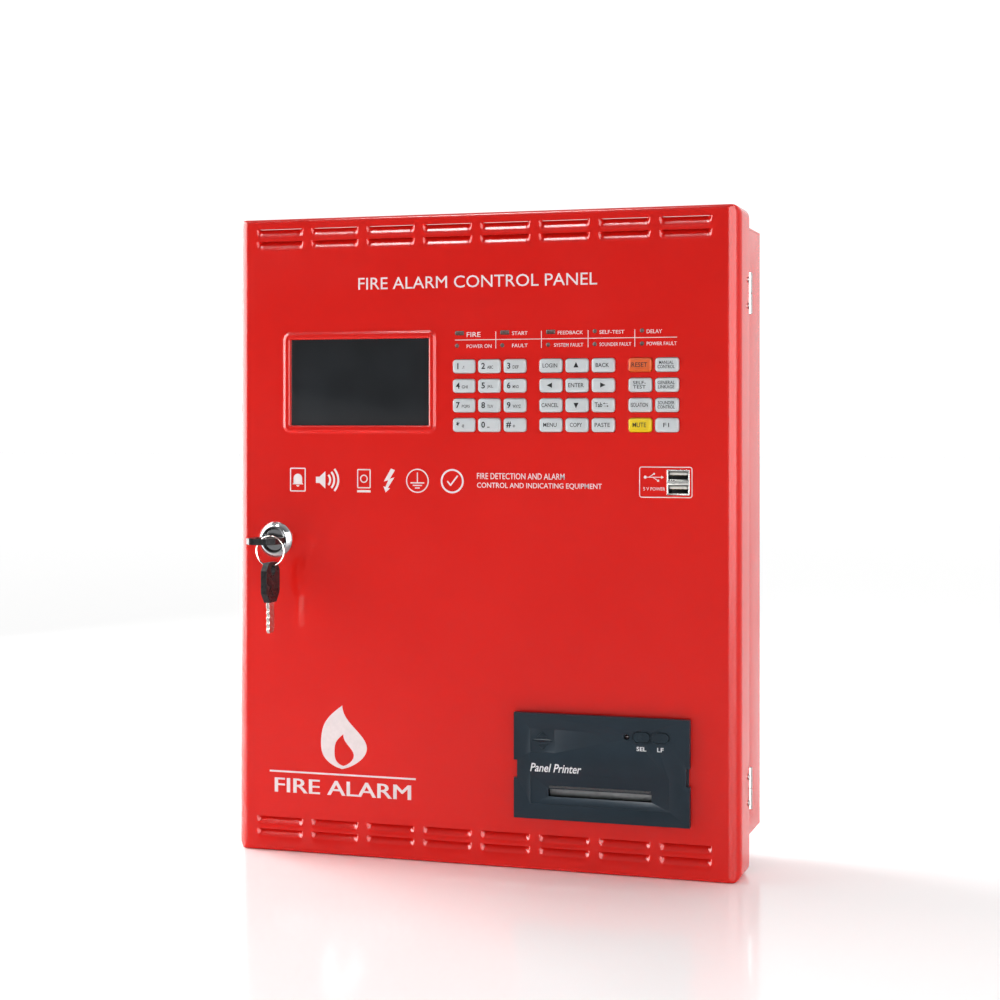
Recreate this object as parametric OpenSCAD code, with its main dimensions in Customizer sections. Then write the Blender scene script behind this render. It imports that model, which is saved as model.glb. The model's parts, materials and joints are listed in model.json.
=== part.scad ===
// Wall-mounted fire alarm control panel: a steel back box with a hinged pan door.
// Millimetres. +X right, -Y out of the wall towards the user, +Z up.
// Origin: centre of the wall fixing holes, on the wall plane.

/* [Cabinet] */
// Door front face to the wall
depth = 86; // [84:1:90]
// Box front lip to the wall
box_depth = 75; // [74:1:76]
// Sheet thickness of the box
box_sheet = 1.2; // [1:0.1:1.5]
// Box side set in from the door's outer side
side_inset = 3.2; // [3.1:0.1:3.6]
// Box top below the door's top edge
top_inset = 10; // [8:1:14]
// Box bottom above the door's bottom edge
foot_inset = 20; // [16:1:22]
// Width of the lip around the box opening
lip_w = 12; // [10:1:13]
// Depth of the lip's turned-back edge
lip_return = 4.8; // [3:0.1:4.8]
// Wall fixing holes, left to right
fixing_x = 240; // [200:5:260]
// Wall fixing holes, top to bottom
fixing_z = 300; // [280:5:310]
// Radius of a wall fixing hole
fixing_r = 3; // [2.5:0.25:4]
// Radius of a cable entry in the top
entry_r = 10.25; // [8:0.25:12]
// Distance between the two cable entries
entry_gap = 180; // [120:5:220]

/* [Door] */
// Door width
door_w = 330; // [326:1:334]
// Door height
door_h = 408; // [404:1:416]
// Depth of the door's turned rim
rim_depth = 31; // [29:1:31]
// Sheet thickness of the door
door_sheet = 1.5; // [1.2:0.1:1.5]
// Outer radius of the left and right bends
side_bend_r = 8; // [4:0.5:10]
// Outer radius of the top and bottom bends
top_bend_r = 3; // [2.5:0.5:5]

/* [Louvres] */
// Louvres in a row
louvre_count = 8; // [4:1:8]
// Length of a louvre
louvre_w = 32.7; // [26:0.1:34]
// Spacing along a row
louvre_pitch = 38.1; // [36:0.1:38.2]
// Height of a louvre's opening
louvre_h = 5; // [4:0.1:6]
// How far a louvre is pushed in
louvre_in = 3; // [2:0.1:4]
// Spacing between the two rows of a group
louvre_row = 8; // [7.5:0.1:9]

/* [Display] */
// Width of the display window
window_w = 94.6; // [88:0.1:98]
// Height of the display window
window_h = 55; // [50:0.1:58]
// Width of the raised frame around the window
frame_w = 5.6; // [3:0.1:7]
// Height of the raised frame
frame_h = 1.2; // [0.6:0.1:2]

/* [Keypad] */
// Width of a key
key_w = 14.6; // [12:0.1:15]
// Height of a key
key_h = 8.4; // [7:0.1:9.5]
// How far a key stands out of the door
key_proud = 1.4; // [1.2:0.1:2.5]
// Spacing of the columns within a group
key_pitch_x = 16.65; // [16.4:0.05:16.8]
// Spacing of the rows
key_pitch_z = 12.2; // [11.5:0.1:12.4]
// Spacing of the column groups
key_group_x = 56.5; // [56:0.1:57]
// Travel of a key
key_travel = 1; // [0.5:0.1:1.1]

/* [Lock] */
// Radius of the lock's bezel
bezel_r = 11.5; // [10.5:0.25:12]
// Radius of the threaded barrel
barrel_r = 9.3; // [8.5:0.1:9.5]
// Radius of the turning plug
plug_r = 6.75; // [6:0.05:7]
// Length of the cam from the lock's centre
cam_len = 18; // [17:0.5:19]
// Width of the key head
head_w = 20; // [19.5:0.1:20.5]
// Length of the key head
head_len = 25.2; // [24:0.1:27]
// Thickness of the key head
head_t = 4; // [3.6:0.1:4]
// Length of the key blade
blade_len = 19.5; // [16:0.5:20]
// Centreline radius of the key ring
ring_r = 9.5; // [9.5:0.1:9.7]
// Wire radius of the key ring
ring_wire_r = 0.6; // [0.5:0.05:0.6]

/* [Printer] */
// Width of the printer's front plate
plate_w = 110.5; // [108:0.5:111]
// Height of the printer's front plate
plate_h = 65; // [64:0.5:66]
// Width of the printer's body behind the door
case_w = 102; // [100:0.5:102]
// Height of the printer's body
case_h = 56; // [55:0.5:57]
// Back of the printer's body behind the door's front
case_depth = 45; // [44:1:46]
// Radius of the paper roll
roll_r = 16; // [10:0.5:17]
// Width of the paper
paper_w = 57; // [56:0.5:58]
// Radius of the platen roller
platen_r = 3.8; // [3:0.1:3.8]

/* [Hinges] */
// Height of a hinge
hinge_h = 25.4; // [20:0.1:30]
// Height of each hinge above or below the door's centre
hinge_z = 152; // [130:1:160]
// Radius of a hinge knuckle
knuckle_r = 2.2; // [2.1:0.05:2.3]
// Radius of a hinge pin
pin_r = 1; // [0.8:0.05:1.1]

/* [Inside] */
// Width of a battery
battery_w = 134; // [120:1:134]
// Height of a battery
battery_h = 61; // [55:1:61]
// Depth of a battery
battery_d = 67; // [60:1:67]
// Width of the power supply
supply_w = 100; // [80:1:104]
// Height of the power supply
supply_h = 78; // [60:1:80]
// Depth of the power supply
supply_d = 38; // [30:1:38]
// Width of the main board
board_w = 230; // [215:1:240]
// Height of the main board
board_h = 108; // [104:1:110]

/* [Hidden] */
$fn = 48;
KEYS = [
    "key_1", "key_2", "key_3", "key_login", "key_up", "key_back", "key_reset", "key_manual",
    "key_4", "key_5", "key_6", "key_left", "key_enter", "key_right", "key_self_test", "key_linkage",
    "key_7", "key_8", "key_9", "key_cancel", "key_down", "key_tab", "key_isolate", "key_sounder",
    "key_star", "key_0", "key_hash", "key_menu", "key_copy", "key_paste", "key_mute", "key_f1"
];

cut = 1;                                    // how far a cutting shape runs past a face
front = -depth;                             // door front face
inner = front + door_sheet;                 // door back face
box_w = door_w - 2 * side_inset;
box_h = door_h - top_inset - foot_inset;
door_z = (top_inset - foot_inset) / 2;      // door centre, from the box's centre
back = -box_sheet;                          // front of the box's back plate

hinge_x = door_w / 2 - 0.8;
hinge_y = front + rim_depth + knuckle_r + 0.2;
leaf_t = 1;                                 // hinge leaf thickness
leaf_len = 11;                              // hinge leaf, along the depth
leaf_in = box_w / 2 - box_sheet - hinge_x;  // box leaf, against the inside of the box wall
rivet_gap = 16;                             // rivets of one leaf
pin_slack = 0.05;                           // radial clearance of every turning fit

louvre_shift = -1.4;                        // the rows sit a little left of centre
louvre_top = door_h / 2 - 6.6;              // upper edge of the top row
louvre_foot = -door_h / 2 + 22.2;           // upper edge of the bottom group

window_at = [-79.9, 98.3];
board_y = front + 8;                        // front of the display board
board_t = 1.6;
post_r = 2;
post_x = [-135.6, -22, 35.8, 92.3, 133.4];
post_z = [134.5, 62.5];

key_at = [-9.15, 107.7];                    // centre of the first key
key_columns = 8;
key_r = 1.8;                                // corner radius of a key
key_slack = 0.3;                            // gap around a key in its hole
key_flange = 0.7;                           // rim that keeps a key in the door

lamp_at = [-13.9, 124.65];                  // first lamp pair, on the centre line of the two rows
lamp_pitch = 29.7;
lamp_row = 3.95;                            // each row above or below that line
lamp_r = 1.3;
bar_lamp = [5.9, 2.6];                      // the three large lamps
bar_shift = 1.6;

usb_at = [127.25, 36.4];
usb_size = [13.9, 15.2];
usb_port = [12.5, 5.1];
usb_port_gap = 8.4;
usb_depth = 20;

lock_at = [-137.4, -2.9];
bezel_h = 3.8;
barrel_end = front + 18;
plug_face = front - 2.6;
keyway = [8.4, 2.4];
blade = [8, 2];
head_back = plug_face - 0.4;                // shoulder of the key
hole_r = 3.2;                               // hole in a key head
hole_in = 4.8;                              // hole centre from the head's end
ring_x = lock_at[0] + hole_r + (head_w / 2 - hole_r) / 2;
ring_seat = sqrt(pow(ring_r - ring_wire_r, 2) - pow((head_w / 2 - hole_r) / 2, 2)) - 0.3;
ring_z = lock_at[1] + head_t / 2 - ring_seat;
ring_y = head_back - head_len + hole_in;
spare_z = ring_z - ring_r - (hole_r - ring_wire_r - 0.3);

printer_at = [80.1, -138.7];
case_wall = 1.5;
flange = [108, 62];
flange_front = front - 1;
plate_back = flange_front - 0.3;
plate_front = front - 5;
plate_wall = 1.2;
plate_hinge = [plate_front + 2.5, -plate_h / 2 + 1.2];   // hinge axis: y, and z from the centre
plate_pin_r = 0.6;
ear = [50, 3];                              // ears each side: place and thickness
notch = [2.1, 11, -2.3];                    // finger notch: depth, height, centre
panel_recess = [87.2, 19, -0.9, -13.8];     // recess around the slot: size and centre
slot = [64.9, 4.8, -0.7, -16];              // paper slot: size and centre
arrow_recess = [15.6, 14.6, -36.9, 15.8];
recess_d = 0.5;
sel_at = [25.7, 20.9];
lf_at = [37.3, 20.9];
button = [10.4, 6.1];
button_travel = 0.6;
led_at = [16.5, 20.6];
platen_at = [front + 4, -15.9];
roll_at = [front + 27, 8.5];
core_r = 6;                                 // bore of the paper roll

battery_x = -box_w / 2 + box_sheet + 2.5;   // left side of the batteries
battery_z = -box_h / 2 + box_sheet;         // underside of the lower battery
bracket_t = 1.2;
battery_step = battery_h + bracket_t + 0.9; // lower battery to upper battery
supply_at = [43, -80];                      // lower left corner
board_at = [-120, 50];                      // lower left corner
standoff = 6.4;

// ---------- shapes used throughout ----------

// Rectangle with round corners, centred.
module soft_rect(w, h, r) {
    square([w - 2 * r, h], center = true);
    square([w, h - 2 * r], center = true);
    for (x = [-1, 1], y = [-1, 1]) translate([x * (w / 2 - r), y * (h / 2 - r)]) circle(r);
}

// Rectangle from the origin's side y0 to y1 whose two corners at y0 are round.
module bent_sheet(w, y0, y1, r) {
    translate([-w / 2, y0 + r]) square([w, y1 - y0 - r]);
    translate([-w / 2 + r, y0]) square([w - 2 * r, y1 - y0]);
    for (x = [-1, 1]) translate([x * (w / 2 - r), y0 + r]) circle(r);
}

// Extrudes a drawing in X and Z from y0 to y1.
module along_y(y0, y1) {
    translate([0, y1, 0]) rotate([90, 0, 0]) linear_extrude(y1 - y0) children();
}

// Extrudes a drawing in Y and Z from x0 to x1.
module along_x(x0, x1) {
    translate([x0, 0, 0]) rotate([90, 0, 90]) linear_extrude(x1 - x0) children();
}

// Round bar along Y, X or Z.
module bar_y(r, y0, y1) { translate([0, y1, 0]) rotate([90, 0, 0]) cylinder(r = r, h = y1 - y0); }
module bar_x(r, x0, x1) { translate([x0, 0, 0]) rotate([0, 90, 0]) cylinder(r = r, h = x1 - x0); }
module bar_z(r, z0, z1) { translate([0, 0, z0]) cylinder(r = r, h = z1 - z0); }

// Block given by two opposite corners.
module block(a, b) { translate(a) cube(b - a); }

// Moves to a place on the door, given from the door's centre.
module on_door(at) { translate([at[0], 0, door_z + at[1]]) children(); }

function key_pos(i) = let (c = i % key_columns, r = floor(i / key_columns))
    [key_at[0] + floor(c / 3) * key_group_x + (c % 3) * key_pitch_x, key_at[1] - r * key_pitch_z];

// ---------- cabinet ----------

// Back plate with its wall holes and the main board's standoffs.
module box_back() {
    color("#d8281f") {
        difference() {
            block([-box_w / 2, back, -box_h / 2], [box_w / 2, 0, box_h / 2]);
            for (x = [-1, 1], z = [-1, 1])
                translate([x * fixing_x / 2, 0, z * fixing_z / 2]) bar_y(fixing_r, back - cut, cut);
        }
        for (x = [8, board_w - 8], z = [8, board_h - 8])
            translate([board_at[0] + x, 0, board_at[1] + z]) bar_y(3, back - standoff, back);
    }
}

// Top wall, with the lip along its front edge and the lip's return.
module box_end() {
    block([-box_w / 2, -box_depth, box_h / 2 - box_sheet], [box_w / 2, back, box_h / 2]);
    block([-box_w / 2 + box_sheet, -box_depth, box_h / 2 - lip_w],
          [box_w / 2 - box_sheet, -box_depth + box_sheet, box_h / 2]);
    block([-box_w / 2 + lip_w - box_sheet, -box_depth, box_h / 2 - lip_w],
          [box_w / 2 - lip_w + box_sheet, -box_depth + lip_return, box_h / 2 - lip_w + box_sheet]);
}

module box_top() {
    color("#d8281f") difference() {
        box_end();
        for (x = [-1, 1]) translate([x * entry_gap / 2, -box_depth / 2 + 10, 0])
            bar_z(entry_r, box_h / 2 - box_sheet - cut, box_h / 2 + cut);
    }
}

module box_foot() { color("#d8281f") mirror([0, 0, 1]) box_end(); }

// Right wall, with its lip and return.
module box_side() {
    block([box_w / 2 - box_sheet, -box_depth, -box_h / 2 + box_sheet],
          [box_w / 2, back, box_h / 2 - box_sheet]);
    block([box_w / 2 - lip_w, -box_depth, -box_h / 2 + lip_w],
          [box_w / 2, -box_depth + box_sheet, box_h / 2 - lip_w]);
    block([box_w / 2 - lip_w, -box_depth, -box_h / 2 + lip_w],
          [box_w / 2 - lip_w + box_sheet, -box_depth + lip_return, box_h / 2 - lip_w]);
}

module box_left() { color("#d8281f") mirror([1, 0, 0]) box_side(); }

// The right wall is slotted where the fixed hinge leaves pass through it.
module box_right() {
    color("#d8281f") difference() {
        box_side();
        for (z = [-1, 1]) translate([0, 0, door_z + z * hinge_z])
            block([box_w / 2 - box_sheet - cut, hinge_y - 1.1, -hinge_h / 2 - 0.3],
                  [box_w / 2 + cut, hinge_y + 2.2, 0.3]);
    }
}

// The lower, fixed half of each lift-off hinge, with its pin.
module hinge_box_half() {
    bar_z(knuckle_r, -hinge_h / 2, -0.15);
    bar_z(pin_r, -0.2, hinge_h / 2 - 2);
    block([leaf_in - leaf_t, 0, -hinge_h / 2], [0, leaf_t, -0.15]);
    block([leaf_in - leaf_t, 0, -hinge_h / 2], [leaf_in, leaf_len, -0.15]);
}

module hinge_box_halves() {
    color("#b9bcc0") for (z = [-1, 1])
        translate([hinge_x, hinge_y, door_z + z * hinge_z]) hinge_box_half();
}

module main_board() {
    color("#1f6b3a") translate([board_at[0], back - standoff - board_t, board_at[1]]) {
        cube([board_w, board_t, board_h]);
        for (i = [0 : 5]) translate([16 + i * 24, -15, 62]) cube([19, 15, 15.5]);
        for (i = [0 : 2]) translate([24 + i * 16, 0, 38]) bar_y(5, -16, 0);
        translate([84, -2, 18]) cube([24, 2, 24]);
        translate([124, -1.8, 24]) cube([14, 1.8, 14]);
        for (i = [0 : 4]) translate([170 + i * 7, -20, 14]) cube([3, 20, 30]);
        translate([168, -4, 14]) cube([37, 4, 30]);
        translate([40, -9, 8]) cube([34, 9, 7]);
    }
}

// Screw terminals along the top edge of the main board.
module terminal_blocks() {
    color("#2f7d4a") for (i = [0 : 2]) {
        translate([board_at[0] + 14 + i * 68, back - standoff - board_t, board_at[1] + board_h - 14])
            difference() {
                block([0, -13, 0], [62, 0, 11]);
                for (k = [0 : 11]) translate([3.4 + k * 5, 0, 7]) bar_y(1.6, -13 - cut, -10);
                for (k = [0 : 11]) block([1.4 + k * 5, -8, 7], [5.2 + k * 5, -4, 11 + cut]);
            }
    }
}

module power_supply() {
    color("#c6c9cb") translate([supply_at[0], back, supply_at[1]]) difference() {
        block([0, -supply_d, 0], [supply_w, 0, supply_h]);
        block([-cut, -supply_d + 14, -cut], [14, -1.2, supply_h + cut]);
        for (i = [0 : 7], k = [0 : 5])
            translate([26 + i * 8, 0, 15 + k * 9]) bar_y(2, -supply_d - cut, -supply_d + 1.5);
    }
}

module batteries() {
    color("#26282b") for (i = [0, 1])
        translate([battery_x, back, battery_z + i * battery_step]) {
            block([0, -battery_d, 0], [battery_w, 0, battery_h - 6]);
            block([2, -battery_d + 2, battery_h - 6], [battery_w - 2, -2, battery_h - 1.5]);
            for (x = [12, battery_w - 18]) block([x, -52, battery_h - 1.5], [x + 6, -51, battery_h]);
        }
}

// Steel shelf, cap and side that hold the two batteries to the back plate.
module battery_bracket() {
    side_x = battery_x + battery_w + 0.6;
    color("#c9ccce") {
        for (i = [1, 2]) translate([0, 0, battery_z + i * battery_step - bracket_t - 0.3])
            block([battery_x, -battery_d + 4, 0], [side_x + bracket_t, back, bracket_t]);
        block([side_x, -battery_d + 4, battery_z], [side_x + bracket_t, back,
              battery_z + 2 * battery_step - 0.3]);
        block([side_x, back - bracket_t, battery_z],
              [side_x + 14, back, battery_z + 2 * battery_step - 0.3]);
    }
}

// ---------- door ----------

module door_pan() {
    difference() {
        intersection() {
            translate([0, 0, -door_h / 2]) linear_extrude(door_h)
                bent_sheet(door_w, front, front + rim_depth, side_bend_r);
            along_x(-door_w / 2, door_w / 2)
                rotate(90) mirror([0, 1]) bent_sheet(door_h, front, front + rim_depth, top_bend_r);
        }
        intersection() {
            translate([0, 0, -door_h / 2 + door_sheet]) linear_extrude(door_h - 2 * door_sheet)
                bent_sheet(door_w - 2 * door_sheet, inner, front + rim_depth + cut,
                           side_bend_r - door_sheet);
            along_x(-door_w / 2, door_w / 2) rotate(90) mirror([0, 1])
                bent_sheet(door_h - 2 * door_sheet, inner, front + rim_depth + cut,
                           top_bend_r - door_sheet);
        }
    }
}

function louvre_rows() = [louvre_top, louvre_top - louvre_row, louvre_foot,
    louvre_foot - louvre_row];

module each_louvre() {
    for (row = louvre_rows(), i = [0 : louvre_count - 1])
        translate([louvre_shift + (i - (louvre_count - 1) / 2) * louvre_pitch, 0, row]) children();
}

// The tongue of sheet pushed in below a louvre's opening.
module louvre_tongue() {
    along_x(-louvre_w / 2, louvre_w / 2) polygon([
        [front, -louvre_h], [front + louvre_in, 0], [front + louvre_in + door_sheet, 0],
        [inner, -louvre_h - 0.6], [front, -louvre_h - 0.6]
    ]);
}

module door_holes() {
    on_door(window_at) along_y(front - frame_h - cut, inner + cut)
        square([window_w, window_h], center = true);
    for (i = [0 : len(KEYS) - 1]) on_door(key_pos(i)) along_y(front - cut, inner + cut)
        soft_rect(key_w + 2 * key_slack, key_h + 2 * key_slack, key_r + key_slack);
    each_lamp() along_y(front - cut, inner + cut) lamp_outline($bar, 0.1);
    on_door(usb_at) along_y(front - cut, inner + cut)
        square([usb_size[0] + 0.4, usb_size[1] + 0.4], center = true);
    on_door(lock_at) bar_y(barrel_r + 0.2, front - cut, inner + cut);
    on_door(printer_at) along_y(front - cut, inner + cut)
        square([case_w + 0.6, case_h + 0.6], center = true);
}

module door_cover() {
    color("#e22b23") {
        difference() {
            union() {
                translate([0, 0, door_z]) door_pan();
                on_door(window_at) along_y(front - frame_h, front)
                    soft_rect(window_w + 2 * frame_w, window_h + 2 * frame_w, 5);
            }
            door_holes();
            translate([0, 0, door_z]) each_louvre() translate([0, 0, -louvre_h])
                block([-louvre_w / 2, front - cut, 0], [louvre_w / 2, inner + cut, louvre_h]);
        }
        translate([0, 0, door_z]) each_louvre() louvre_tongue();
        for (x = post_x, z = post_z) on_door([x, z]) bar_y(post_r, inner, board_y);
    }
}

// The upper half of each lift-off hinge, riveted inside the door's rim.
module hinge_door_half() {
    rim_in = door_w / 2 - door_sheet - hinge_x;
    difference() {
        union() {
            bar_z(knuckle_r, 0.15, hinge_h / 2);
            block([rim_in - leaf_t, -leaf_len, -hinge_h / 2], [rim_in, 0, hinge_h / 2]);
        }
        bar_z(pin_r + pin_slack, -cut, hinge_h / 2 - 1.5);
        bar_z(knuckle_r + 0.3, -hinge_h / 2 - cut, 0.15);
    }
    for (z = [-1, 1]) translate([rim_in, -leaf_len / 2 - 0.5, z * rivet_gap / 2])
        bar_x(1.8, door_sheet, door_sheet + 0.8);
}

module hinge_door_halves() {
    color("#b9bcc0") for (z = [-1, 1])
        translate([hinge_x, hinge_y, door_z + z * hinge_z]) hinge_door_half();
}

module display_panel() {
    color("#1b2025") on_door(window_at) {
        along_y(inner, inner + 2.5) square([105.5, 67.2], center = true);
        along_y(inner + 2.5, board_y) square([98, 60], center = true);
    }
}

// Board behind the display and keypad, with a switch behind each key.
module display_board() {
    switch_top = inner + 0.3 + 2.2 + key_travel + 0.3;
    color("#1f6b3a") {
        translate([0, 0, door_z]) block([-139, board_y, 59], [137, board_y + board_t, 138]);
        for (i = [0 : len(KEYS) - 1]) on_door(key_pos(i)) along_y(switch_top, board_y)
            square(6, center = true);
        on_door([-80, 78]) bar_y(6, board_y + board_t, board_y + board_t + 6.5);
        on_door([-90, 108]) along_y(board_y + board_t, board_y + board_t + 1.6)
            square(20, center = true);
        on_door([30, 98]) along_y(board_y + board_t, board_y + board_t + 8)
            square([40, 9], center = true);
        on_door([80, 98]) along_y(board_y + board_t, board_y + board_t + 2)
            square([14, 14], center = true);
    }
}

module each_lamp() {
    for (i = [0 : 4], row = [-1, 1]) let (bar = row == 1 && i < 3)
        on_door([lamp_at[0] + i * lamp_pitch + (bar ? bar_shift : 0), lamp_at[1] + row * lamp_row]) {
            $bar = bar;
            children();
        }
}

module lamp_outline(bar, grow) {
    if (bar) square([bar_lamp[0] + 2 * grow, bar_lamp[1] + 2 * grow], center = true);
    else circle(lamp_r + grow);
}

module indicator_lamps() {
    color("#8a7f78") each_lamp() along_y(front - 0.3, board_y) lamp_outline($bar, 0);
}

// Two USB sockets, one above the other, with a fixing flange behind the door.
module usb_socket() {
    color("#c4c8cc") on_door(usb_at) {
        difference() {
            union() {
                along_y(front, front + usb_depth) square(usb_size, center = true);
                along_y(inner, inner + 1.2) square([23, 20], center = true);
            }
            for (z = [-1, 1]) translate([0, 0, z * usb_port_gap / 2])
                along_y(front - cut, front + 12) square(usb_port, center = true);
        }
        for (z = [-1, 1]) translate([0, 0, z * usb_port_gap / 2 + 0.9])
            along_y(front + 5, front + 12.1) square([11, 1.8], center = true);
    }
}

// ---------- lock and keys ----------

module lock_barrel() {
    color("#cfd3d6") on_door(lock_at) difference() {
        union() {
            translate([0, front, 0]) rotate([90, 0, 0]) rotate_extrude() polygon([
                [0, 0], [bezel_r, 0], [bezel_r, 0.8], [bezel_r - 2.4, bezel_h],
                [plug_r + 1, bezel_h], [plug_r + 0.4, bezel_h - 0.8], [0, bezel_h - 0.8]
            ]);
            bar_y(barrel_r, front, barrel_end);
        }
        bar_y(plug_r + pin_slack, front - bezel_h - cut, barrel_end + cut);
    }
}

module lock_nut() {
    color("#b9bcc0") on_door(lock_at) difference() {
        translate([0, inner + 3, 0]) rotate([90, 0, 0]) cylinder(r = 13, h = 3, $fn = 6);
        bar_y(barrel_r + pin_slack, inner - cut, inner + 3 + cut);
    }
}

module lock_plug() {
    color("#8e9398") on_door(lock_at) difference() {
        union() {
            bar_y(plug_r, plug_face, barrel_end + 0.1);
            along_y(barrel_end, barrel_end + 3.4) square(6, center = true);
        }
        along_y(plug_face - cut, head_back + blade_len + 0.6) square(keyway, center = true);
    }
}

// Cam that swings behind the box's left lip, with its retaining screw.
module lock_cam() {
    cam_y = barrel_end + 0.1;
    color("#b9bcc0") on_door(lock_at) {
        difference() {
            along_y(cam_y, cam_y + 2) union() {
                circle(6.5);
                translate([-5, -cam_len]) square([10, cam_len]);
            }
            along_y(cam_y - cut, cam_y + 2 + cut) square(6.1, center = true);
        }
        translate([0, cam_y + 5.5, 0]) rotate([90, 0, 0]) cylinder(r = 4.4, h = 2.2, $fn = 6);
    }
}

// Key blade drawn pointing along +Y from the head's shoulder, with four cuts.
module blade_shape() {
    difference() {
        along_y(-3, blade_len) square(blade, center = true);
        for (i = [0 : 3]) translate([blade[0] / 2 + 0.6, 5 + i * 3.6, 0])
            bar_z(1.5, -blade[1], blade[1]);
        for (x = [-1, 1]) translate([x * blade[0] / 2, blade_len, 0]) rotate(45)
            cube([2.4, 2.4, 4], center = true);
    }
}

// Flat key head with cut corners, its shoulder at y = 0.
module head_shape() {
    difference() {
        translate([0, 0, -head_t / 2]) linear_extrude(head_t) polygon([
            [-head_w / 2 + 5, 0], [head_w / 2 - 5, 0], [head_w / 2, -6],
            [head_w / 2, -head_len + 5], [head_w / 2 - 4, -head_len],
            [-head_w / 2 + 4, -head_len], [-head_w / 2, -head_len + 5], [-head_w / 2, -6]
        ]);
        translate([0, -head_len + hole_in, 0]) bar_z(hole_r, -head_t, head_t);
        along_y(-3, cut) square(blade, center = true);
    }
}

module in_lock() { on_door(lock_at) translate([0, head_back, 0]) children(); }

module on_ring() {
    translate([ring_x, ring_y, door_z + spare_z]) rotate([-90, 0, 0]) rotate([0, 90, 0])
        translate([0, head_len - hole_in, 0]) children();
}

module key_blade() { color("#c9ccd0") in_lock() blade_shape(); }
module key_head() { color("#1d1d1f") in_lock() head_shape(); }
module spare_key_blade() { color("#c9ccd0") on_ring() blade_shape(); }
module spare_key_head() { color("#1d1d1f") on_ring() head_shape(); }

module key_ring() {
    color("#c9ccd0") translate([ring_x, ring_y, door_z + ring_z]) rotate([90, 0, 0])
        rotate_extrude() translate([ring_r, 0]) circle(ring_wire_r);
}

// ---------- printer ----------

module printer_case() {
    color("#343b41") on_door(printer_at) {
        difference() {
            union() {
                along_y(flange_front, front) square(flange, center = true);
                along_y(front, front + case_depth) square([case_w, case_h], center = true);
            }
            along_y(flange_front - cut, front + case_depth - case_wall)
                square([case_w - 2 * case_wall, case_h - 2 * case_wall], center = true);
        }
        for (x = [-1, 1]) translate([x * ear[0], 0, 0]) difference() {
            along_x(-ear[1] / 2, ear[1] / 2) {
                translate(plate_hinge) circle(1.2);
                translate([plate_hinge[0], plate_hinge[1]])
                    square([flange_front - plate_hinge[0] + 0.2, 2.6]);
            }
            translate([0, plate_hinge[0], plate_hinge[1]])
                bar_x(plate_pin_r + pin_slack, -ear[1], ear[1]);
        }
        for (x = [-1, 1]) translate([x * (paper_w / 2 + 1.2), roll_at[0], roll_at[1]])
            block([-0.6, -6, -6], [0.6, front + case_depth - case_wall - roll_at[0], 6]);
        translate([0, roll_at[0], roll_at[1]])
            bar_x(core_r - pin_slack, -paper_w / 2 - 1.2, paper_w / 2 + 1.2);
    }
}

module plate_outline() {
    difference() {
        square([plate_w, plate_h], center = true);
        for (x = [-1, 1]) translate([x * plate_w / 2, notch[2]])
            square([2 * notch[0], notch[1]], center = true);
    }
}

// Front plate of the printer: a shallow tray hinged along its lower edge.
module printer_cover() {
    hollow_front = plate_front + plate_wall;
    color("#3d464d") on_door(printer_at) {
        difference() {
            along_y(plate_front, plate_back) plate_outline();
            along_y(hollow_front, plate_back + cut)
                translate([0, 1.2]) square([plate_w - 8, plate_h - 4.8], center = true);
            along_x(-plate_w, plate_w) difference() {
                translate([plate_hinge[0], plate_hinge[1] - 3]) square([4, 3]);
                translate(plate_hinge) circle(1.2);
            }
            for (x = [-1, 1]) translate([x * ear[0], 0, 0])
                block([-ear[1] / 2 - 0.3, hollow_front, -plate_h / 2 - cut],
                      [ear[1] / 2 + 0.3, plate_back + cut, plate_hinge[1] + 3.2]);
            along_y(plate_front - cut, plate_front + recess_d) {
                translate([panel_recess[2], panel_recess[3]])
                    square([panel_recess[0], panel_recess[1]], center = true);
                translate([arrow_recess[2], arrow_recess[3]])
                    square([arrow_recess[0], arrow_recess[1]], center = true);
            }
            along_y(plate_front - cut, plate_back + cut) {
                translate([slot[2], slot[3]]) square([slot[0], slot[1]], center = true);
                for (at = [sel_at, lf_at]) translate(at)
                    soft_rect(button[0] + 0.6, button[1] + 0.6, button[1] / 2 + 0.29);
                translate(led_at) circle(1.7);
            }
        }
        for (x = [-1, 1]) translate([x * ear[0], plate_hinge[0], plate_hinge[1]])
            bar_x(plate_pin_r, -ear[1], ear[1]);
        for (x = [-1, 1]) translate([x * 35.5, 0, platen_at[1]]) difference() {
            block([-1.2, hollow_front, -5], [1.2, platen_at[0] + 3, 5]);
            translate([0, platen_at[0], 0]) bar_x(1.5 + pin_slack, -3, 3);
        }
        translate([(sel_at[0] + lf_at[0]) / 2, 0, sel_at[1]]) {
            along_y(hollow_front + 3.4, hollow_front + 4.4) square([26, 8], center = true);
            for (x = [-1, 1]) translate([x * 12.5, 0, 0])
                along_y(hollow_front, hollow_front + 4.4) square([1, 8], center = true);
        }
    }
}

module printer_button(at) {
    color("#39424a") on_door(printer_at) translate([at[0], 0, at[1]]) {
        along_y(plate_front - 0.5, plate_front + plate_wall + 0.4)
            soft_rect(button[0], button[1], button[1] / 2 - 0.01);
        along_y(plate_front + plate_wall + 0.3, plate_front + plate_wall + 1.2)
            square([button[0] + 0.4, 7.4], center = true);
        bar_y(1.5, plate_front + plate_wall + 1, plate_front + plate_wall + 2.6);
    }
}

module paper_roll() {
    color("#f4f3ee") on_door(printer_at) translate([0, roll_at[0], roll_at[1]]) difference() {
        bar_x(roll_r, -paper_w / 2, paper_w / 2);
        bar_x(core_r, -paper_w / 2 - cut, paper_w / 2 + cut);
    }
}

module platen_roller() {
    color("#5a5f63") on_door(printer_at) translate([0, platen_at[0], platen_at[1]]) {
        bar_x(platen_r, -33.5, 33.5);
        bar_x(1.5, -37.5, 37.5);
    }
}

// ---------- keypad ----------

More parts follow.
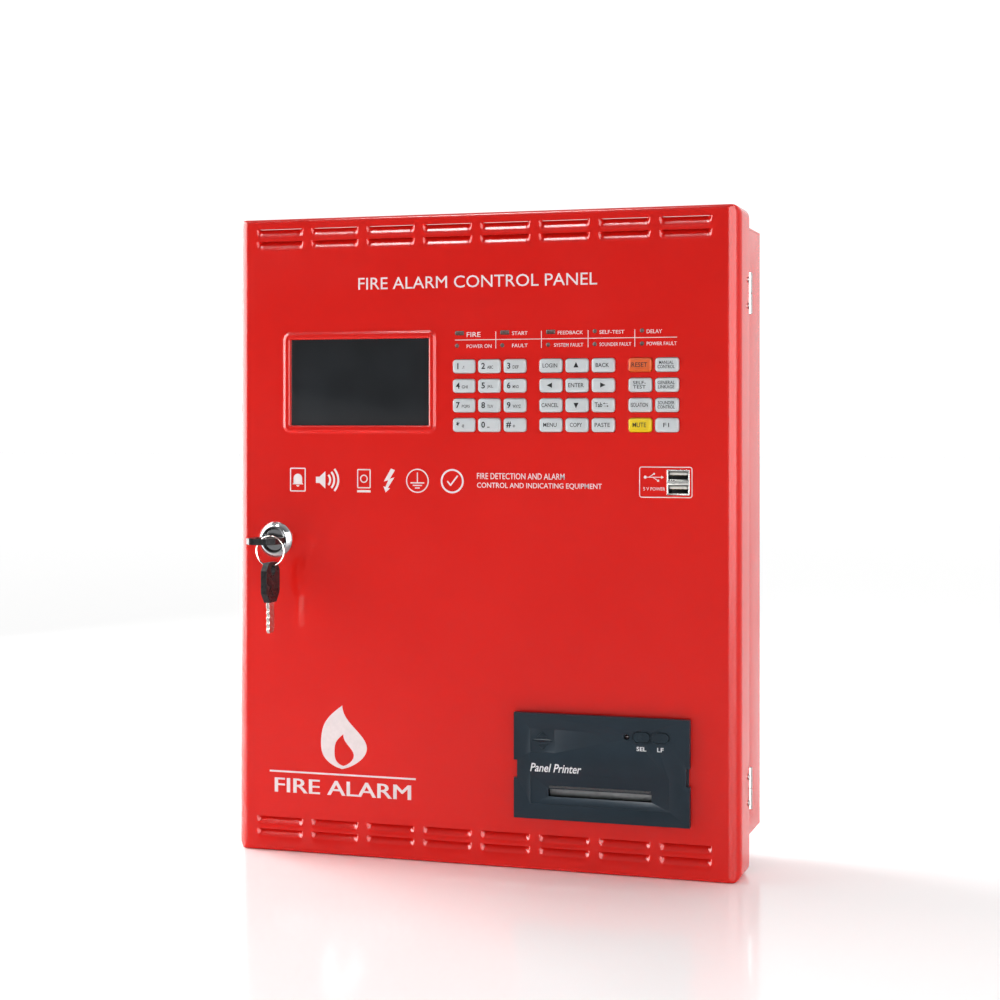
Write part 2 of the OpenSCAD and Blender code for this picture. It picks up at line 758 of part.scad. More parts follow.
module keypad_key(i) {
    flange_y = inner + 0.3;
    color("#dfe3e3") on_door(key_pos(i)) {
        along_y(front - key_proud, flange_y + 0.1) soft_rect(key_w, key_h, key_r);
        along_y(flange_y, flange_y + 1)
            soft_rect(key_w + 2 * key_flange, key_h + 2 * key_flange, key_r);
        bar_y(2, flange_y + 0.9, flange_y + 2.2);
    }
}

box_back();
box_top();
box_foot();
box_left();
box_right();
hinge_box_halves();
main_board();
terminal_blocks();
power_supply();
batteries();
battery_bracket();
door_cover();
hinge_door_halves();
display_panel();
display_board();
indicator_lamps();
usb_socket();
lock_barrel();
lock_nut();
lock_plug();
lock_cam();
key_blade();
key_head();
key_ring();
spare_key_blade();
spare_key_head();
printer_case();
printer_cover();
printer_button(sel_at);  // printer_key_sel
printer_button(lf_at);  // printer_key_lf
paper_roll();
platen_roller();
for (i = [0 : len(KEYS) - 1]) keypad_key(i);
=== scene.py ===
import json
from math import cos, pi, radians, sin
import bmesh
import bpy
import numpy as np
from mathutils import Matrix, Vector
from mathutils.geometry import delaunay_2d_cdt


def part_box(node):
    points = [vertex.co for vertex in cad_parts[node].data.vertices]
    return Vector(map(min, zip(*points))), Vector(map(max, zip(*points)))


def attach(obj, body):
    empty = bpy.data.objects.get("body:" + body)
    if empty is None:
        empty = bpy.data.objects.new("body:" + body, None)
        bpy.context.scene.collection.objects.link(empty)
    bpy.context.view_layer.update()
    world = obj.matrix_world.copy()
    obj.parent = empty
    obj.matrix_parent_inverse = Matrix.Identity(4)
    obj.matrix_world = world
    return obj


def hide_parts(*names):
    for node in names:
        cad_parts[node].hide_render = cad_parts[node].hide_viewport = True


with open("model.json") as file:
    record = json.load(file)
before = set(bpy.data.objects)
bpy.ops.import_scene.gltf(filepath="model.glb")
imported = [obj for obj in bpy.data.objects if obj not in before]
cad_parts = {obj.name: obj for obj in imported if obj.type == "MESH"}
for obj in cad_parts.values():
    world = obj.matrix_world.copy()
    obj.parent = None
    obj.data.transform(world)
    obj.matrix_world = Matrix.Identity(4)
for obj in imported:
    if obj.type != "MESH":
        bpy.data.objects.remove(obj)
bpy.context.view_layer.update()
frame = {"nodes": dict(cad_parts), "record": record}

# ---- Studio ----
# A camera a little to the right of the panel, a pale satin floor at the door's lower edge, and
# a bright white room. Soft boxes stand at both sides and overhead, and three bright cards show
# only in glossy faces.
door_low, door_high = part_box("door_cover")
scene = bpy.context.scene
camera_data = bpy.data.cameras.new("view")
camera_data.sensor_width = 36
camera_data.lens = 68.98
camera_data.shift_x = -0.0042
camera_data.shift_y = -0.079
camera = bpy.data.objects.new("view", camera_data)
camera.location = (0.3757, -1.2213, 0.0686)
camera.rotation_euler = (radians(90), 0, radians(17.53))
scene.collection.objects.link(camera)
scene.camera = camera
scene.view_settings.view_transform = "Standard"

room = bpy.data.worlds.new("white_room")
scene.world = room
room.use_nodes = True
room_nodes, room_links = room.node_tree.nodes, room.node_tree.links
room_light = room_nodes["Background"]
# White behind the panel, fading to a soft grey on the side that the door faces.
direction = room_nodes.new("ShaderNodeTexCoord")
split = room_nodes.new("ShaderNodeSeparateXYZ")
room_links.new(direction.outputs["Generated"], split.inputs[0])
fade = room_nodes.new("ShaderNodeMapRange")
fade.interpolation_type = "SMOOTHSTEP"
for key, value in (("From Min", -0.55), ("From Max", 0.1), ("To Min", 0.25), ("To Max", 1.12)):
    fade.inputs[key].default_value = value
room_links.new(split.outputs["Y"], fade.inputs["Value"])
room_links.new(fade.outputs["Result"], room_light.inputs["Strength"])
room_light.inputs["Color"].default_value = (1, 1, 1, 1)


def soft_box(name, place, target, width, height, watts, shine=False):
    """A rectangular area light at a place, aimed at a target. With shine true it shows only in
    glossy reflections, as a card does."""
    light = bpy.data.lights.new(name, "AREA")
    light.shape = "RECTANGLE"
    light.size, light.size_y, light.energy = width, height, watts
    lamp = bpy.data.objects.new(name, light)
    lamp.location = place
    lamp.rotation_euler = (Vector(target) - Vector(place)).to_track_quat("-Z", "Y").to_euler()
    lamp.visible_diffuse = not shine
    lamp.visible_camera = False
    scene.collection.objects.link(lamp)


soft_box("left_box", (-1.5, -0.75, 0.25), (0, 0, 0), 0.6, 1.8, 6)
soft_box("left_strip", (-1.2, 0.3, 0.05), (-0.15, -0.05, 0), 0.7, 1.8, 40)
soft_box("right_box", (1.5, -0.35, 0.3), (0, 0, 0), 0.5, 1.8, 4)
soft_box("top_box", (0.0, -1.7, 1.05), (0, 0, 0), 1.6, 0.7, 2)
soft_box("left_card", (-1.35, -0.6, 0.25), (-0.15, -0.08, 0), 1.3, 2.4, 180, True)
soft_box("right_card", (1.45, -1.62, 0.25), (0.16, -0.08, 0), 2.6, 2.4, 220, True)
soft_box("top_card", (-0.46, -0.66, 1.6), (0.02, -0.08, 0.19), 0.34, 0.5, 22, True)

floor_z = door_low.z
reach = 14.0
floor_mesh = bpy.data.meshes.new("floor")
floor_mesh.from_pydata(
    [(x * reach, y * reach, floor_z) for x, y in ((-1, -1), (1, -1), (1, 1), (-1, 1))],
    [], [(0, 1, 2, 3)])
floor = bpy.data.objects.new("floor", floor_mesh)
scene.collection.objects.link(floor)
floor_finish = bpy.data.materials.new("pale_floor")
floor_finish.use_nodes = True
floor_shader = floor_finish.node_tree.nodes["Principled BSDF"]
floor_shader.inputs["Base Color"].default_value = (0.97, 0.97, 0.97, 1)
floor_shader.inputs["Roughness"].default_value = 0.12
floor_shader.inputs["Specular IOR Level"].default_value = 0.2
floor_mesh.materials.append(floor_finish)

# ---- Door sheet ----
# The door is 1.5 mm steel sheet: lanced and pierced flat, drawn up around the display window,
# then folded into a pan and powder coated a smooth satin red.
door_mid = (door_low + door_high) / 2
half_w = (door_high.x - door_low.x) / 2
half_h = (door_high.z - door_low.z) / 2
back_edge = door_high.y
rim = 0.031
front = back_edge - rim
sheet = 0.0015
inner = front + sheet
side_bend, top_bend = 0.008, 0.003
margin = 0.001


def grid_faces(rows, columns, loop=False):
    """Quads of a rows by columns grid of points, closed along the columns if loop is true."""
    index = np.arange(rows * columns).reshape(rows, columns)
    if loop:
        index = np.hstack([index, index[:, :1]])
    corners = [index[:-1, :-1], index[:-1, 1:], index[1:, 1:], index[1:, :-1]]
    return np.stack(corners, -1).reshape(-1, 4)


def patch(points, loop=False):
    """A grid of points as (points, quads)."""
    points = np.asarray(points, float)
    return points.reshape(-1, 3), grid_faces(points.shape[0], points.shape[1], loop)


def joined(patches):
    """Several (points, faces) patches as one list of points and one list of faces."""
    points, faces, start = [], [], 0
    for some_points, some_faces in patches:
        points.append(some_points)
        faces.extend((start + np.array(face)).tolist() for face in some_faces)
        start += len(some_points)
    return np.vstack(points), faces


def set_down(name, mesh, finish, body, replaced, crease, weld, join=False, outward=False):
    """A mesh as one object: welded, flat faces joined or faces turned outward if asked, smooth
    but for edges past the crease angle, and riding on a body."""
    work = bmesh.new()
    work.from_mesh(mesh)
    bmesh.ops.remove_doubles(work, verts=work.verts, dist=weld)
    if join:
        flat = radians(0.6)
        bmesh.ops.dissolve_limit(work, angle_limit=flat, verts=work.verts, edges=work.edges)
    if outward:
        bmesh.ops.recalc_face_normals(work, faces=work.faces)
    work.to_mesh(mesh)
    work.free()
    mesh.polygons.foreach_set("use_smooth", np.ones(len(mesh.polygons), bool))
    mesh.set_sharp_from_angle(angle=radians(crease))
    mesh.materials.clear()
    mesh.materials.append(finish)
    piece = bpy.data.objects.new(name, mesh)
    scene.collection.objects.link(piece)
    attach(piece, body)
    if replaced:
        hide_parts(*replaced)
    return piece


def make_piece(name, patches, finish, body, replaced=(), crease=35, weld=1e-6):
    """One object made of the patches, its normals outward."""
    points, faces = joined(patches)
    mesh = bpy.data.meshes.new(name)
    mesh.from_pydata(points.tolist(), [], faces)
    return set_down(name, mesh, finish, body, replaced, crease, weld, outward=True)


def soft_outline(centre, width, height, radius, corner=6):
    """Points round a rectangle with round corners, anticlockwise, as an array of (x, z)."""
    angle = np.linspace(0, pi / 2, corner + 1)
    arc = radius * np.stack([np.cos(angle), np.sin(angle)], -1)
    parts = []
    for sx, sz, c, s in ((1, 1, 1, 0), (-1, 1, 0, 1), (-1, -1, -1, 0), (1, -1, 0, -1)):
        turned = np.stack([c * arc[:, 0] - s * arc[:, 1], s * arc[:, 0] + c * arc[:, 1]], -1)
        parts.append(turned + [sx * (width / 2 - radius), sz * (height / 2 - radius)])
    return np.vstack(parts) + np.asarray(centre)


def round_outline(centre, radius, count=32):
    """Points round a circle, anticlockwise, as an array of (x, z)."""
    angle = np.arange(count) * 2 * pi / count
    return np.stack([np.cos(angle), np.sin(angle)], -1) * radius + np.asarray(centre)


def at_depth(outline, depth):
    """An (x, z) outline set at one y."""
    outline = np.asarray(outline)
    return np.stack([outline[:, 0], np.full(len(outline), depth), outline[:, 1]], -1)


def inside(outline, spots):
    """Which spots lie in a closed outline: those from which a line across meets it oddly often."""
    ax, az = outline[:, 0], outline[:, 1]
    bx, bz = np.roll(ax, -1), np.roll(az, -1)
    x, z = spots[:, :1], spots[:, 1:]
    crosses = (az > z) != (bz > z)
    with np.errstate(divide="ignore", invalid="ignore"):
        meets = x < (bx - ax) * (z - az) / (bz - az) + ax
    return (crosses & meets).sum(1) % 2 == 1


def pierced(outer, holes, depth):
    """The flat area inside the outer outline and outside the holes, as triangles at one y."""
    loops = [outer] + list(holes)
    flat = np.vstack(loops)
    edges, start = [], 0
    for loop in loops:
        index = np.arange(len(loop)) + start
        edges += np.stack([index, np.roll(index, -1)], -1).tolist()
        start += len(loop)
    spots, _, faces, *_ = delaunay_2d_cdt([Vector(p) for p in flat.tolist()], edges, [], 1, 1e-7)
    spots, faces = np.array([tuple(p) for p in spots]), np.array(faces)
    middles = spots[faces].mean(1)
    keep = ~np.any([inside(hole, middles) for hole in holes], 0)
    return at_depth(spots, depth), faces[keep]


# Display window, keys, lamps, sockets, lock and printer, from their own CAD nodes.
def centre_of(node):
    low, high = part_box(node)
    return np.array([(low.x + high.x) / 2, (low.z + high.z) / 2])


key_nodes = [n for n in frame["record"]["behaviour"]["bodies"] if n in frame["nodes"]
             and n.startswith("key_") and n != "key_ring"]
key_size = np.array([0.0146, 0.0084])
key_places = {n: centre_of(n) for n in key_nodes}
lamp_pitch, lamp_row = 0.0297, 0.00395
lamp_low, lamp_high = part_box("indicator_lamps")
lamp_r, bar_shift, lamp_rise, printer_drop = 0.0013, 0.0016, 0.12465, 0.1387
lamp_first = np.array([lamp_low.x + lamp_r, door_mid.z + lamp_rise])
bar_places = [lamp_first + [i * lamp_pitch + bar_shift, lamp_row] for i in range(3)]
dot_places = [lamp_first + [i * lamp_pitch, -lamp_row] for i in range(5)]
dot_places += [lamp_first + [i * lamp_pitch, lamp_row] for i in (3, 4)]
socket_at = centre_of("usb_socket")
lock_at = centre_of("lock_barrel")
printer_at = centre_of("printer_case")
printer_at[1] = door_mid.z - printer_drop
window_at = centre_of("display_panel")

holes = [(soft_outline(place, 0.0152, 0.009, 0.0021, 4), 0.0002) for place in key_places.values()]
holes += [(soft_outline(place, 0.0061, 0.0028, 0.0003, 2), 0.0001) for place in bar_places]
holes += [(round_outline(place, 0.0014, 20), 0.0001) for place in dot_places]
holes += [(soft_outline(socket_at, 0.0143, 0.0156, 0.0005, 3), 0.0002)]
holes += [(round_outline(lock_at, 0.0095, 48), 0.0002)]
holes += [(soft_outline(printer_at, 0.1026, 0.0566, 0.0015, 3), 0.0002)]


def lifted(profile, base):
    """Profile steps with a base added to their depths."""
    return [(step, base + y) for step, y in profile]


def unit(lines):
    """Rows scaled to a length of 1."""
    return lines / np.linalg.norm(lines, axis=1)[:, None]


def grown(outline, amount):
    """An outline moved outwards by an amount along its corner normals."""
    along = unit(unit(np.roll(outline, -1, 0) - outline) + unit(outline - np.roll(outline, 1, 0)))
    return outline + amount * np.stack([along[:, 1], -along[:, 0]], -1)


def pierced_edge(outline, roll):
    """A punched hole's edge: a small quarter round at the front, then straight to the back."""
    angle = np.linspace(0, pi / 2, 3)
    rings = [at_depth(grown(outline, 3 * roll), front)]
    rings += [at_depth(grown(outline, roll * (1 - sin(a))), front + roll * (1 - cos(a)))
              for a in angle]
    rings.append(at_depth(outline, inner))
    return patch(rings, loop=True)


# Louvres: eight to a row, two rows at the top and two at the bottom.
louvre_x = door_mid.x - 0.0014 + (np.arange(8) - 3.5) * 0.0381
louvre_w, louvre_h, louvre_in = 0.0327, 0.0052, 0.0031
top_cuts = door_mid.z + np.array([0.1974, 0.1894])
foot_cuts = door_mid.z + np.array([-0.1818, -0.1898])
ramp = np.array([0, 0.0003, 0.0007, 0.0012, 0.0018, 0.0026, 0.0036])
one_louvre = np.hstack([-louvre_w / 2 + ramp, [-0.006, 0, 0.006], louvre_w / 2 - ramp[::-1]])
flat_half = half_w - side_bend - margin
band_x = np.hstack([
    [door_mid.x - flat_half], (louvre_x[:, None] + one_louvre).ravel(),
    [door_mid.x + flat_half]])
from_louvre = np.abs(band_x[:, None] - louvre_x).min(1)
in_louvre = from_louvre < louvre_w / 2 - 1e-6


def smooth(t):
    """Rises from 0 to 1 with level ends."""
    t = np.clip(t, 0, 1)
    return t * t * (3 - 2 * t)


def sheet_rows(z, depth, offset):
    """Rows of the sheet at levels z, pushed in by a depth. Offset 0 is the front face, 1 the
    back."""
    x, z = np.broadcast_arrays(band_x, z[:, None])
    return np.stack([x, front + offset * sheet + depth, z], -1)


def louvre_strip(cut, low, offset):
    """Sheet from a cut down to a level: below the cut it is pushed in, easing out to the sides
    and down to nothing at the louvre's foot."""
    fall = np.hstack([np.linspace(0, louvre_h, 9), [cut - low]])
    side = smooth((louvre_w / 2 - from_louvre) / 0.003)
    down = np.clip(1 - fall / louvre_h, 0, 1) ** 1.15
    return sheet_rows(cut - fall, louvre_in * down[:, None] * side, offset)


def louvre_band(high, cuts, low):
    """A band of two louvre rows: both faces of the sheet, and its cut edges."""
    parts = []
    levels = np.array([high, cuts[0]])
    uppers = [sheet_rows(levels, np.zeros((2, len(band_x))), k) for k in (0, 1)]
    parts += [patch(u) for u in uppers]
    above = [u[-1] for u in uppers]
    for cut, foot in zip(cuts, (cuts[1], low)):
        faces = [louvre_strip(cut, foot, k) for k in (0, 1)]
        parts += [patch(f) for f in faces]
        below = [f[0] for f in faces]
        for edge in (above, below):
            points, quads = patch(np.stack(edge))
            parts.append((points, quads[in_louvre[:-1] | in_louvre[1:]]))
        above = [f[-1] for f in faces]
    return parts


band_edges = door_mid.z + np.array([0.1832, -0.1806])
flat_top = door_high.z - top_bend - margin
flat_foot = door_low.z + top_bend + margin
sheet_parts = louvre_band(flat_top, top_cuts, band_edges[0])
sheet_parts += louvre_band(band_edges[1], foot_cuts, flat_foot)

# The raised frame round the window: a profile of (distance in from its outer edge, depth).
window_w, window_h, frame_w, frame_up = 0.0946, 0.055, 0.0056, 0.0012
turn = np.linspace(0, pi / 2, 5)
frame_profile = [(0, 0), (0.0008, 0), (0.0012, -0.0002), (0.0016, -0.0006), (0.002, -0.001),
                 (0.0024, -frame_up), (0.0028, -frame_up)]
frame_profile += [(frame_w - 0.0013 + 0.0013 * sin(a), -frame_up + 0.0013 * (1 - cos(a)))
                  for a in turn]
frame_profile += [(frame_w, sheet)]
frame_outer = (window_w + 2 * frame_w, window_h + 2 * frame_w, 0.0055)


def frame_ring(inset):
    """The frame's outline at a distance in from its outer edge."""
    width, height, radius = frame_outer
    return soft_outline(window_at, width - 2 * inset, height - 2 * inset,
                        max(radius - inset * 0.9, 0.0004), 8)


sheet_parts.append(patch([at_depth(frame_ring(d), front + y) for d, y in frame_profile], loop=True))
sheet_parts.append(patch([at_depth(frame_ring(d), inner) for d in (0, frame_w)], loop=True))

outer_loop = np.vstack([
    np.stack([band_x, np.full(len(band_x), band_edges[1])], -1),
    np.stack([band_x[::-1], np.full(len(band_x), band_edges[0])], -1)])
front_holes = [grown(o, 3 * r) for o, r in holes] + [frame_ring(0)]
sheet_parts.append(pierced(outer_loop, front_holes, front))
sheet_parts.append(pierced(outer_loop, [o for o, r in holes] + [frame_ring(0)], inner))
sheet_parts += [pierced_edge(o, r) for o, r in holes]


def bend_lines(half, radius, rings, offset):
    """Places across a folded edge and the depth of the face there: flat, then a quarter round
    of the bend's radius less the offset."""
    angle = np.linspace(0, pi / 2, rings + 1)
    across = half - radius + (radius - offset) * np.sin(angle)
    depth = offset + (radius - offset) * (1 - np.cos(angle))
    return np.append(half - radius - margin, across), np.append(offset, depth)


corner_r = 0.006


def round_corner(x, z, offset):
    """Draws the pan's square corners in to a round one. Past the start of the corner's curve, a
    and b are the shares of the radius that are left across and up: they become a times the root
    of 1 - b b / 2, and b times the root of 1 - a a / 2."""
    radius = corner_r - offset
    from_mid = x - door_mid.x, z - door_mid.z
    a = np.clip((np.abs(from_mid[0]) - half_w + corner_r) / radius, 0, 1)
    b = np.clip((np.abs(from_mid[1]) - half_h + corner_r) / radius, 0, 1)
    less_x = a * (1 - np.sqrt(1 - b * b / 2)) * radius
    less_z = b * (1 - np.sqrt(1 - a * a / 2)) * radius
    return x - np.sign(from_mid[0]) * less_x, z - np.sign(from_mid[1]) * less_z


def pan_face(offset):
    """The folded faces of the pan around its flat: the face lies at the deeper of the side
    bend's depth and the top bend's depth, and then runs straight to the back edge."""
    x_out, x_depth = bend_lines(half_w, side_bend, 12, offset)
    z_out, z_depth = bend_lines(half_h, top_bend, 6, offset)
    x = np.hstack([door_mid.x - x_out[::-1], band_x[1:-1], door_mid.x + x_out])
    fx = np.hstack([x_depth[::-1], np.full(len(band_x) - 2, offset), x_depth])
    cuts = np.hstack([top_cuts, foot_cuts])
    falls = (cuts[:, None] - np.linspace(0, louvre_h, 9)).ravel()
    z_mid = np.sort(np.hstack([band_edges, cuts, falls]))
    z_mid = z_mid[np.append(True, np.diff(z_mid) > 1e-7)]
    z = np.hstack([door_mid.z - z_out[::-1], z_mid, door_mid.z + z_out])
    fz = np.hstack([z_depth[::-1], np.full(len(z_mid), offset), z_depth])
    depth = np.maximum(fx[None, :], fz[:, None])
    gx, gz = np.meshgrid(x, z)
    gx, gz = round_corner(gx, gz, offset)
    points = np.stack([gx, front + depth, gz], -1)
    side, cap = len(x_out), len(z_out)
    middle = slice(side - 1, -side + 1)
    parts = [patch(p) for p in (
        points[:, :side], points[:, -side:], points[:cap, middle],
        points[-cap:, middle])]
    ends = []
    for line in (points[:, 0], points[:, -1], points[0], points[-1]):
        last = line.copy()
        last[:, 1] = back_edge
        parts.append(patch(np.stack([line, last])))
        ends.append(last)
    return parts, ends


outer_parts, outer_ends = pan_face(0.0)
inner_parts, inner_ends = pan_face(sheet)
sheet_parts += outer_parts + inner_parts
sheet_parts += [patch(np.stack([a, b])) for a, b in zip(outer_ends, inner_ends)]


def surface(name, cloud, gloss, bumps, specular=0.5, metallic=0.0, grain=(1, 1, 1),
            spread=(0.3, 0.7)):
    """A Principled material whose patterns are noise in Object coordinates. Cloud is (cycles per
    metre, detail, two colours), mixed over the spread. Gloss is a roughness, or (cycles per
    metre, detail, lowest, highest). Each bump is (cycles per metre, detail, height in metres),
    then a grain of its own if it has one, and lies on the one before."""
    finish = bpy.data.materials.new(name)
    finish.use_nodes = True
    nodes, links = finish.node_tree.nodes, finish.node_tree.links
    shader = nodes["Principled BSDF"].inputs
    shader["Specular IOR Level"].default_value = specular
    shader["Metallic"].default_value = metallic

    def noise(scale, detail, stretch=grain):
        place = nodes.new("ShaderNodeTexCoord")
        stretched = nodes.new("ShaderNodeMapping")
        stretched.inputs["Scale"].default_value = stretch
        links.new(place.outputs["Object"], stretched.inputs["Vector"])
        pattern = nodes.new("ShaderNodeTexNoise")
        pattern.inputs["Scale"].default_value = scale
        pattern.inputs["Detail"].default_value = detail
        links.new(stretched.outputs["Vector"], pattern.inputs["Vector"])
        return pattern.outputs["Fac"]

    mix = nodes.new("ShaderNodeValToRGB")
    for end, place, color in zip(mix.color_ramp.elements, spread, cloud[2:]):
        end.position = place
        end.color = (*color, 1)
    links.new(noise(*cloud[:2]), mix.inputs["Fac"])
    links.new(mix.outputs["Color"], shader["Base Color"])
    if isinstance(gloss, tuple):
        patchy = nodes.new("ShaderNodeMapRange")
        for key, value in zip(("From Min", "From Max", "To Min", "To Max"), (0.3, 0.7, *gloss[2:])):
            patchy.inputs[key].default_value = value
        links.new(noise(*gloss[:2]), patchy.inputs["Value"])
        links.new(patchy.outputs["Result"], shader["Roughness"])
    else:
        shader["Roughness"].default_value = gloss
    below = None
    for scale, detail, height, *stretch in bumps:
        bump = nodes.new("ShaderNodeBump")
        bump.inputs["Distance"].default_value = height
        bump.inputs["Strength"].default_value = 1
        links.new(noise(scale, detail, *stretch), bump.inputs["Height"])
        if below:
            links.new(below, bump.inputs["Normal"])
        below = bump.outputs["Normal"]
        links.new(below, shader["Normal"])
    return finish


def shade(color, share):
    """A colour made darker or lighter."""
    return tuple(c * share for c in color)


door_red = surface("door_powder_coat", (9, 4, (0.71, 0.012, 0.008), (0.75, 0.015, 0.010)),
                   (30, 4, 0.13, 0.19), [(700, 2, 0.000016), (60, 2, 0.00004)], 0.25)
make_piece("door_sheet", sheet_parts, door_red, "door", ["door_cover"])

# ---- Printed legends on the door ----
# White screen-printed ink on the red coat: the title, the lamp captions with their ruled lines,
# a row of plain pictograms, the outline round the sockets and a flame emblem.
ink_up = 0.00004


def screen_ink(name, color, roughness, speck, specular=0.5):
    """Screen ink: one colour with faint mottling and a fine grain, laid on thin."""
    return surface(name, (speck, 4, shade(color, 0.93), color),
                   (speck * 2, 2, roughness * 0.85, roughness * 1.15), [(speck * 6, 2, 0.000008)],
                   specular)


def words(text, low_left, high_right, face, bold=0.0, slant=0.0, up=ink_up, keep=False):
    """Lettering fitted to a box on a plane of constant y, as a thin closed solid proud of it.
    With keep true only the height is fitted and the width follows it."""
    curve = bpy.data.curves.new("words", "FONT")
    curve.body = text
    curve.resolution_u = 3
    curve.extrude = 0.5
    curve.offset = bold
    curve.shear = slant
    curve.space_line = 0.9
    curve.align_x = "CENTER"
    holder = bpy.data.objects.new("words", curve)
    mesh = bpy.data.meshes.new_from_object(holder)
    spots = np.empty(len(mesh.vertices) * 3)
    mesh.vertices.foreach_get("co", spots)
    spots = spots.reshape(-1, 3)
    faces = [list(p.vertices) for p in mesh.polygons]
    bpy.data.objects.remove(holder)
    bpy.data.meshes.remove(mesh)
    bpy.data.curves.remove(curve)
    lows, highs = spots.min(0), spots.max(0)
    (left, low), (right, high) = low_left, high_right
    size = (right - left) / (highs[0] - lows[0]), (high - low) / (highs[1] - lows[1])
    across = size[1] if keep else size[0]
    middle = (left + right) / 2
    x = middle + (spots[:, 0] - (lows[0] + highs[0]) / 2) * across
    z = low + (spots[:, 1] - lows[1]) * size[1]
    y = face - spots[:, 2] * 2 * up
    return np.stack([x, y, z], -1), faces


def plate(outline, face=front, up=ink_up):
    """A thin closed solid with a given outline, standing proud of a plane of constant y."""
    count = len(outline)
    points = np.vstack([at_depth(outline, face - up), at_depth(outline, face + up)])
    front_face, back_face = list(range(count)), list(range(count, 2 * count))[::-1]
    return points, [front_face, back_face] + grid_faces(2, count, loop=True).tolist()


def outline_band(outline, width, face=front, up=ink_up):
    """A line of one width that follows a closed outline."""
    within = grown(outline, -width)
    rings = [(outline, -up), (within, -up), (within, up), (outline, up), (outline, -up)]
    return patch([at_depth(ring, face + lift) for ring, lift in rings], loop=True)


def stroke(start, end, width, face=front, up=ink_up):
    """A straight line of one width."""
    along = (end - start) / np.linalg.norm(end - start)
    side = np.array([-along[1], along[0]]) * width / 2
    return plate(np.array([start - side, end - side, end + side, start + side]), face, up)


def on_door(u, v):
    """A place on the door given from the door's centre, in millimetres."""
    return np.stack([door_mid.x + np.asarray(u) / 1000, door_mid.z + np.asarray(v) / 1000], -1)


def door_words(text, left, right, low, high, **more):
    """Lettering on the door's face in a box given in millimetres from the door's centre."""
    return words(text, on_door(left, low), on_door(right, high), front, **more)


legends = [door_words("FIRE ALARM CONTROL PANEL", -80.3, 76.7, 157.1, 164.7)]
captions = [
    ("FIRE", -7.5, 1.6, 126.1, 129.1), ("START", 22.2, 32.3, 126.9, 129.2),
    ("FEEDBACK", 51.7, 67.8, 126.9, 129.1), ("SELF-TEST", 78.2, 93.8, 126.9, 129.1),
    ("DELAY", 107.8, 117.3, 126.9, 129.2), ("POWER ON", -7.5, 8.8, 119.2, 121.4),
    ("FAULT", 22.2, 32.3, 119.3, 121.5), ("SYSTEM FAULT", 49.3, 67.9, 119.3, 121.5),
    ("SOUNDER FAULT", 78.2, 98.1, 119.4, 121.6), ("POWER FAULT", 107.8, 126.4, 119.5, 121.7)]
legends += [door_words(*caption, bold=0.002) for caption in captions]
thin_w, over = 0.0004, ink_up * 1.2
legends.append(stroke(on_door(-15.2, 124.3), on_door(126.6, 124.3), thin_w))
legends += [stroke(on_door(u, 118.8), on_door(u, 129.3), thin_w, up=over)
            for u in (11.6, 41.2, 71.0, 100.4)]

# Pictograms, each about 15 mm tall: a sounder in a frame, a horn with waves, a wall box,
# a flash, an earth terminal and a tick in a ring.
line_w, sign_z = 0.0007, 35.9


def arc(centre, radius, start, end, count=20):
    """Points along part of a circle, angles in degrees anticlockwise from +X."""
    angle = np.radians(np.linspace(start, end, count))
    return np.stack([np.cos(angle), np.sin(angle)], -1) * radius + np.asarray(centre)


def arc_band(centre, radius, width, start, end):
    """A bent line of one width along part of a circle."""
    outer, within = radius + width / 2, radius - width / 2
    return plate(np.vstack([arc(centre, outer, start, end), arc(centre, within, end, start)]))


frame_at = on_door(-122.1, sign_z)
bell = frame_at + [[-0.003, -0.002], [-0.0038, -0.003], [0.0038, -0.003], [0.003, -0.002]]
legends += [outline_band(soft_outline(frame_at, 0.0109, 0.0153, 0.0008), line_w),
            plate(np.vstack([arc(frame_at + [0, 0.0008], 0.003, 0, 180, 14), bell])),
            plate(arc(frame_at + [0, -0.0034], 0.0011, 180, 360, 8))]
horn_at = on_door(-105.0, sign_z)
horn = np.array([[-45, -20], [-20, -20], [20, -55], [20, 55], [-20, 20], [-45, 20]]) / 10000
legends.append(plate(horn_at + horn))
legends += [arc_band(horn_at + [0.0005, 0], r, 0.0013, -42, 42) for r in (0.0048, 0.0076, 0.0104)]
wall_at = on_door(-76.5, sign_z + 1)
legends += [outline_band(soft_outline(wall_at, 0.0092, 0.0122, 0.0008), line_w),
            outline_band(round_outline(wall_at, 0.0026, 28), line_w),
            plate(soft_outline(on_door(-76.5, 28.9), 0.0092, 0.0014, 0.0002, 2))]
flash = np.array([[1.2, 7.6], [-3.6, -0.6], [-0.6, 0.2], [-2.6, -4.2], [-3.9, -3.6], [-2.4, -7.6],
                  [0.6, -4.9], [-0.9, -4.7], [3.4, 1.9], [0.4, 1.1], [3.9, 6.6]]) / 1000
legends.append(plate((on_door(-59.3, sign_z) + flash)[::-1]))
earth_at = on_door(-40.3, sign_z)
legends += [outline_band(round_outline(earth_at, 0.0076, 44), line_w),
            stroke(earth_at + [0, 0.0052], earth_at + [0, -0.0011], line_w)]
legends += [stroke(earth_at + [-w, z], earth_at + [w, z], line_w, up=over)
            for w, z in ((0.0046, -0.0013), (0.0031, -0.0029), (0.0016, -0.0045))]
tick_at = on_door(-17.1, sign_z)
legends += [
    outline_band(round_outline(tick_at, 0.0076, 44), 0.0011),
    stroke(tick_at + [-0.0032, 0.0], tick_at + [-0.0009, -0.0028], 0.0009),
    stroke(tick_at + [-0.0012, -0.0027], tick_at + [0.0036, 0.0034], 0.0009, up=over),
    door_words("FIRE DETECTION AND ALARM", -0.7, 56.0, 37.4, 41.2, bold=0.004),
    door_words("CONTROL AND INDICATING EQUIPMENT", -0.7, 79.7, 31.4, 35.2, bold=0.004)]

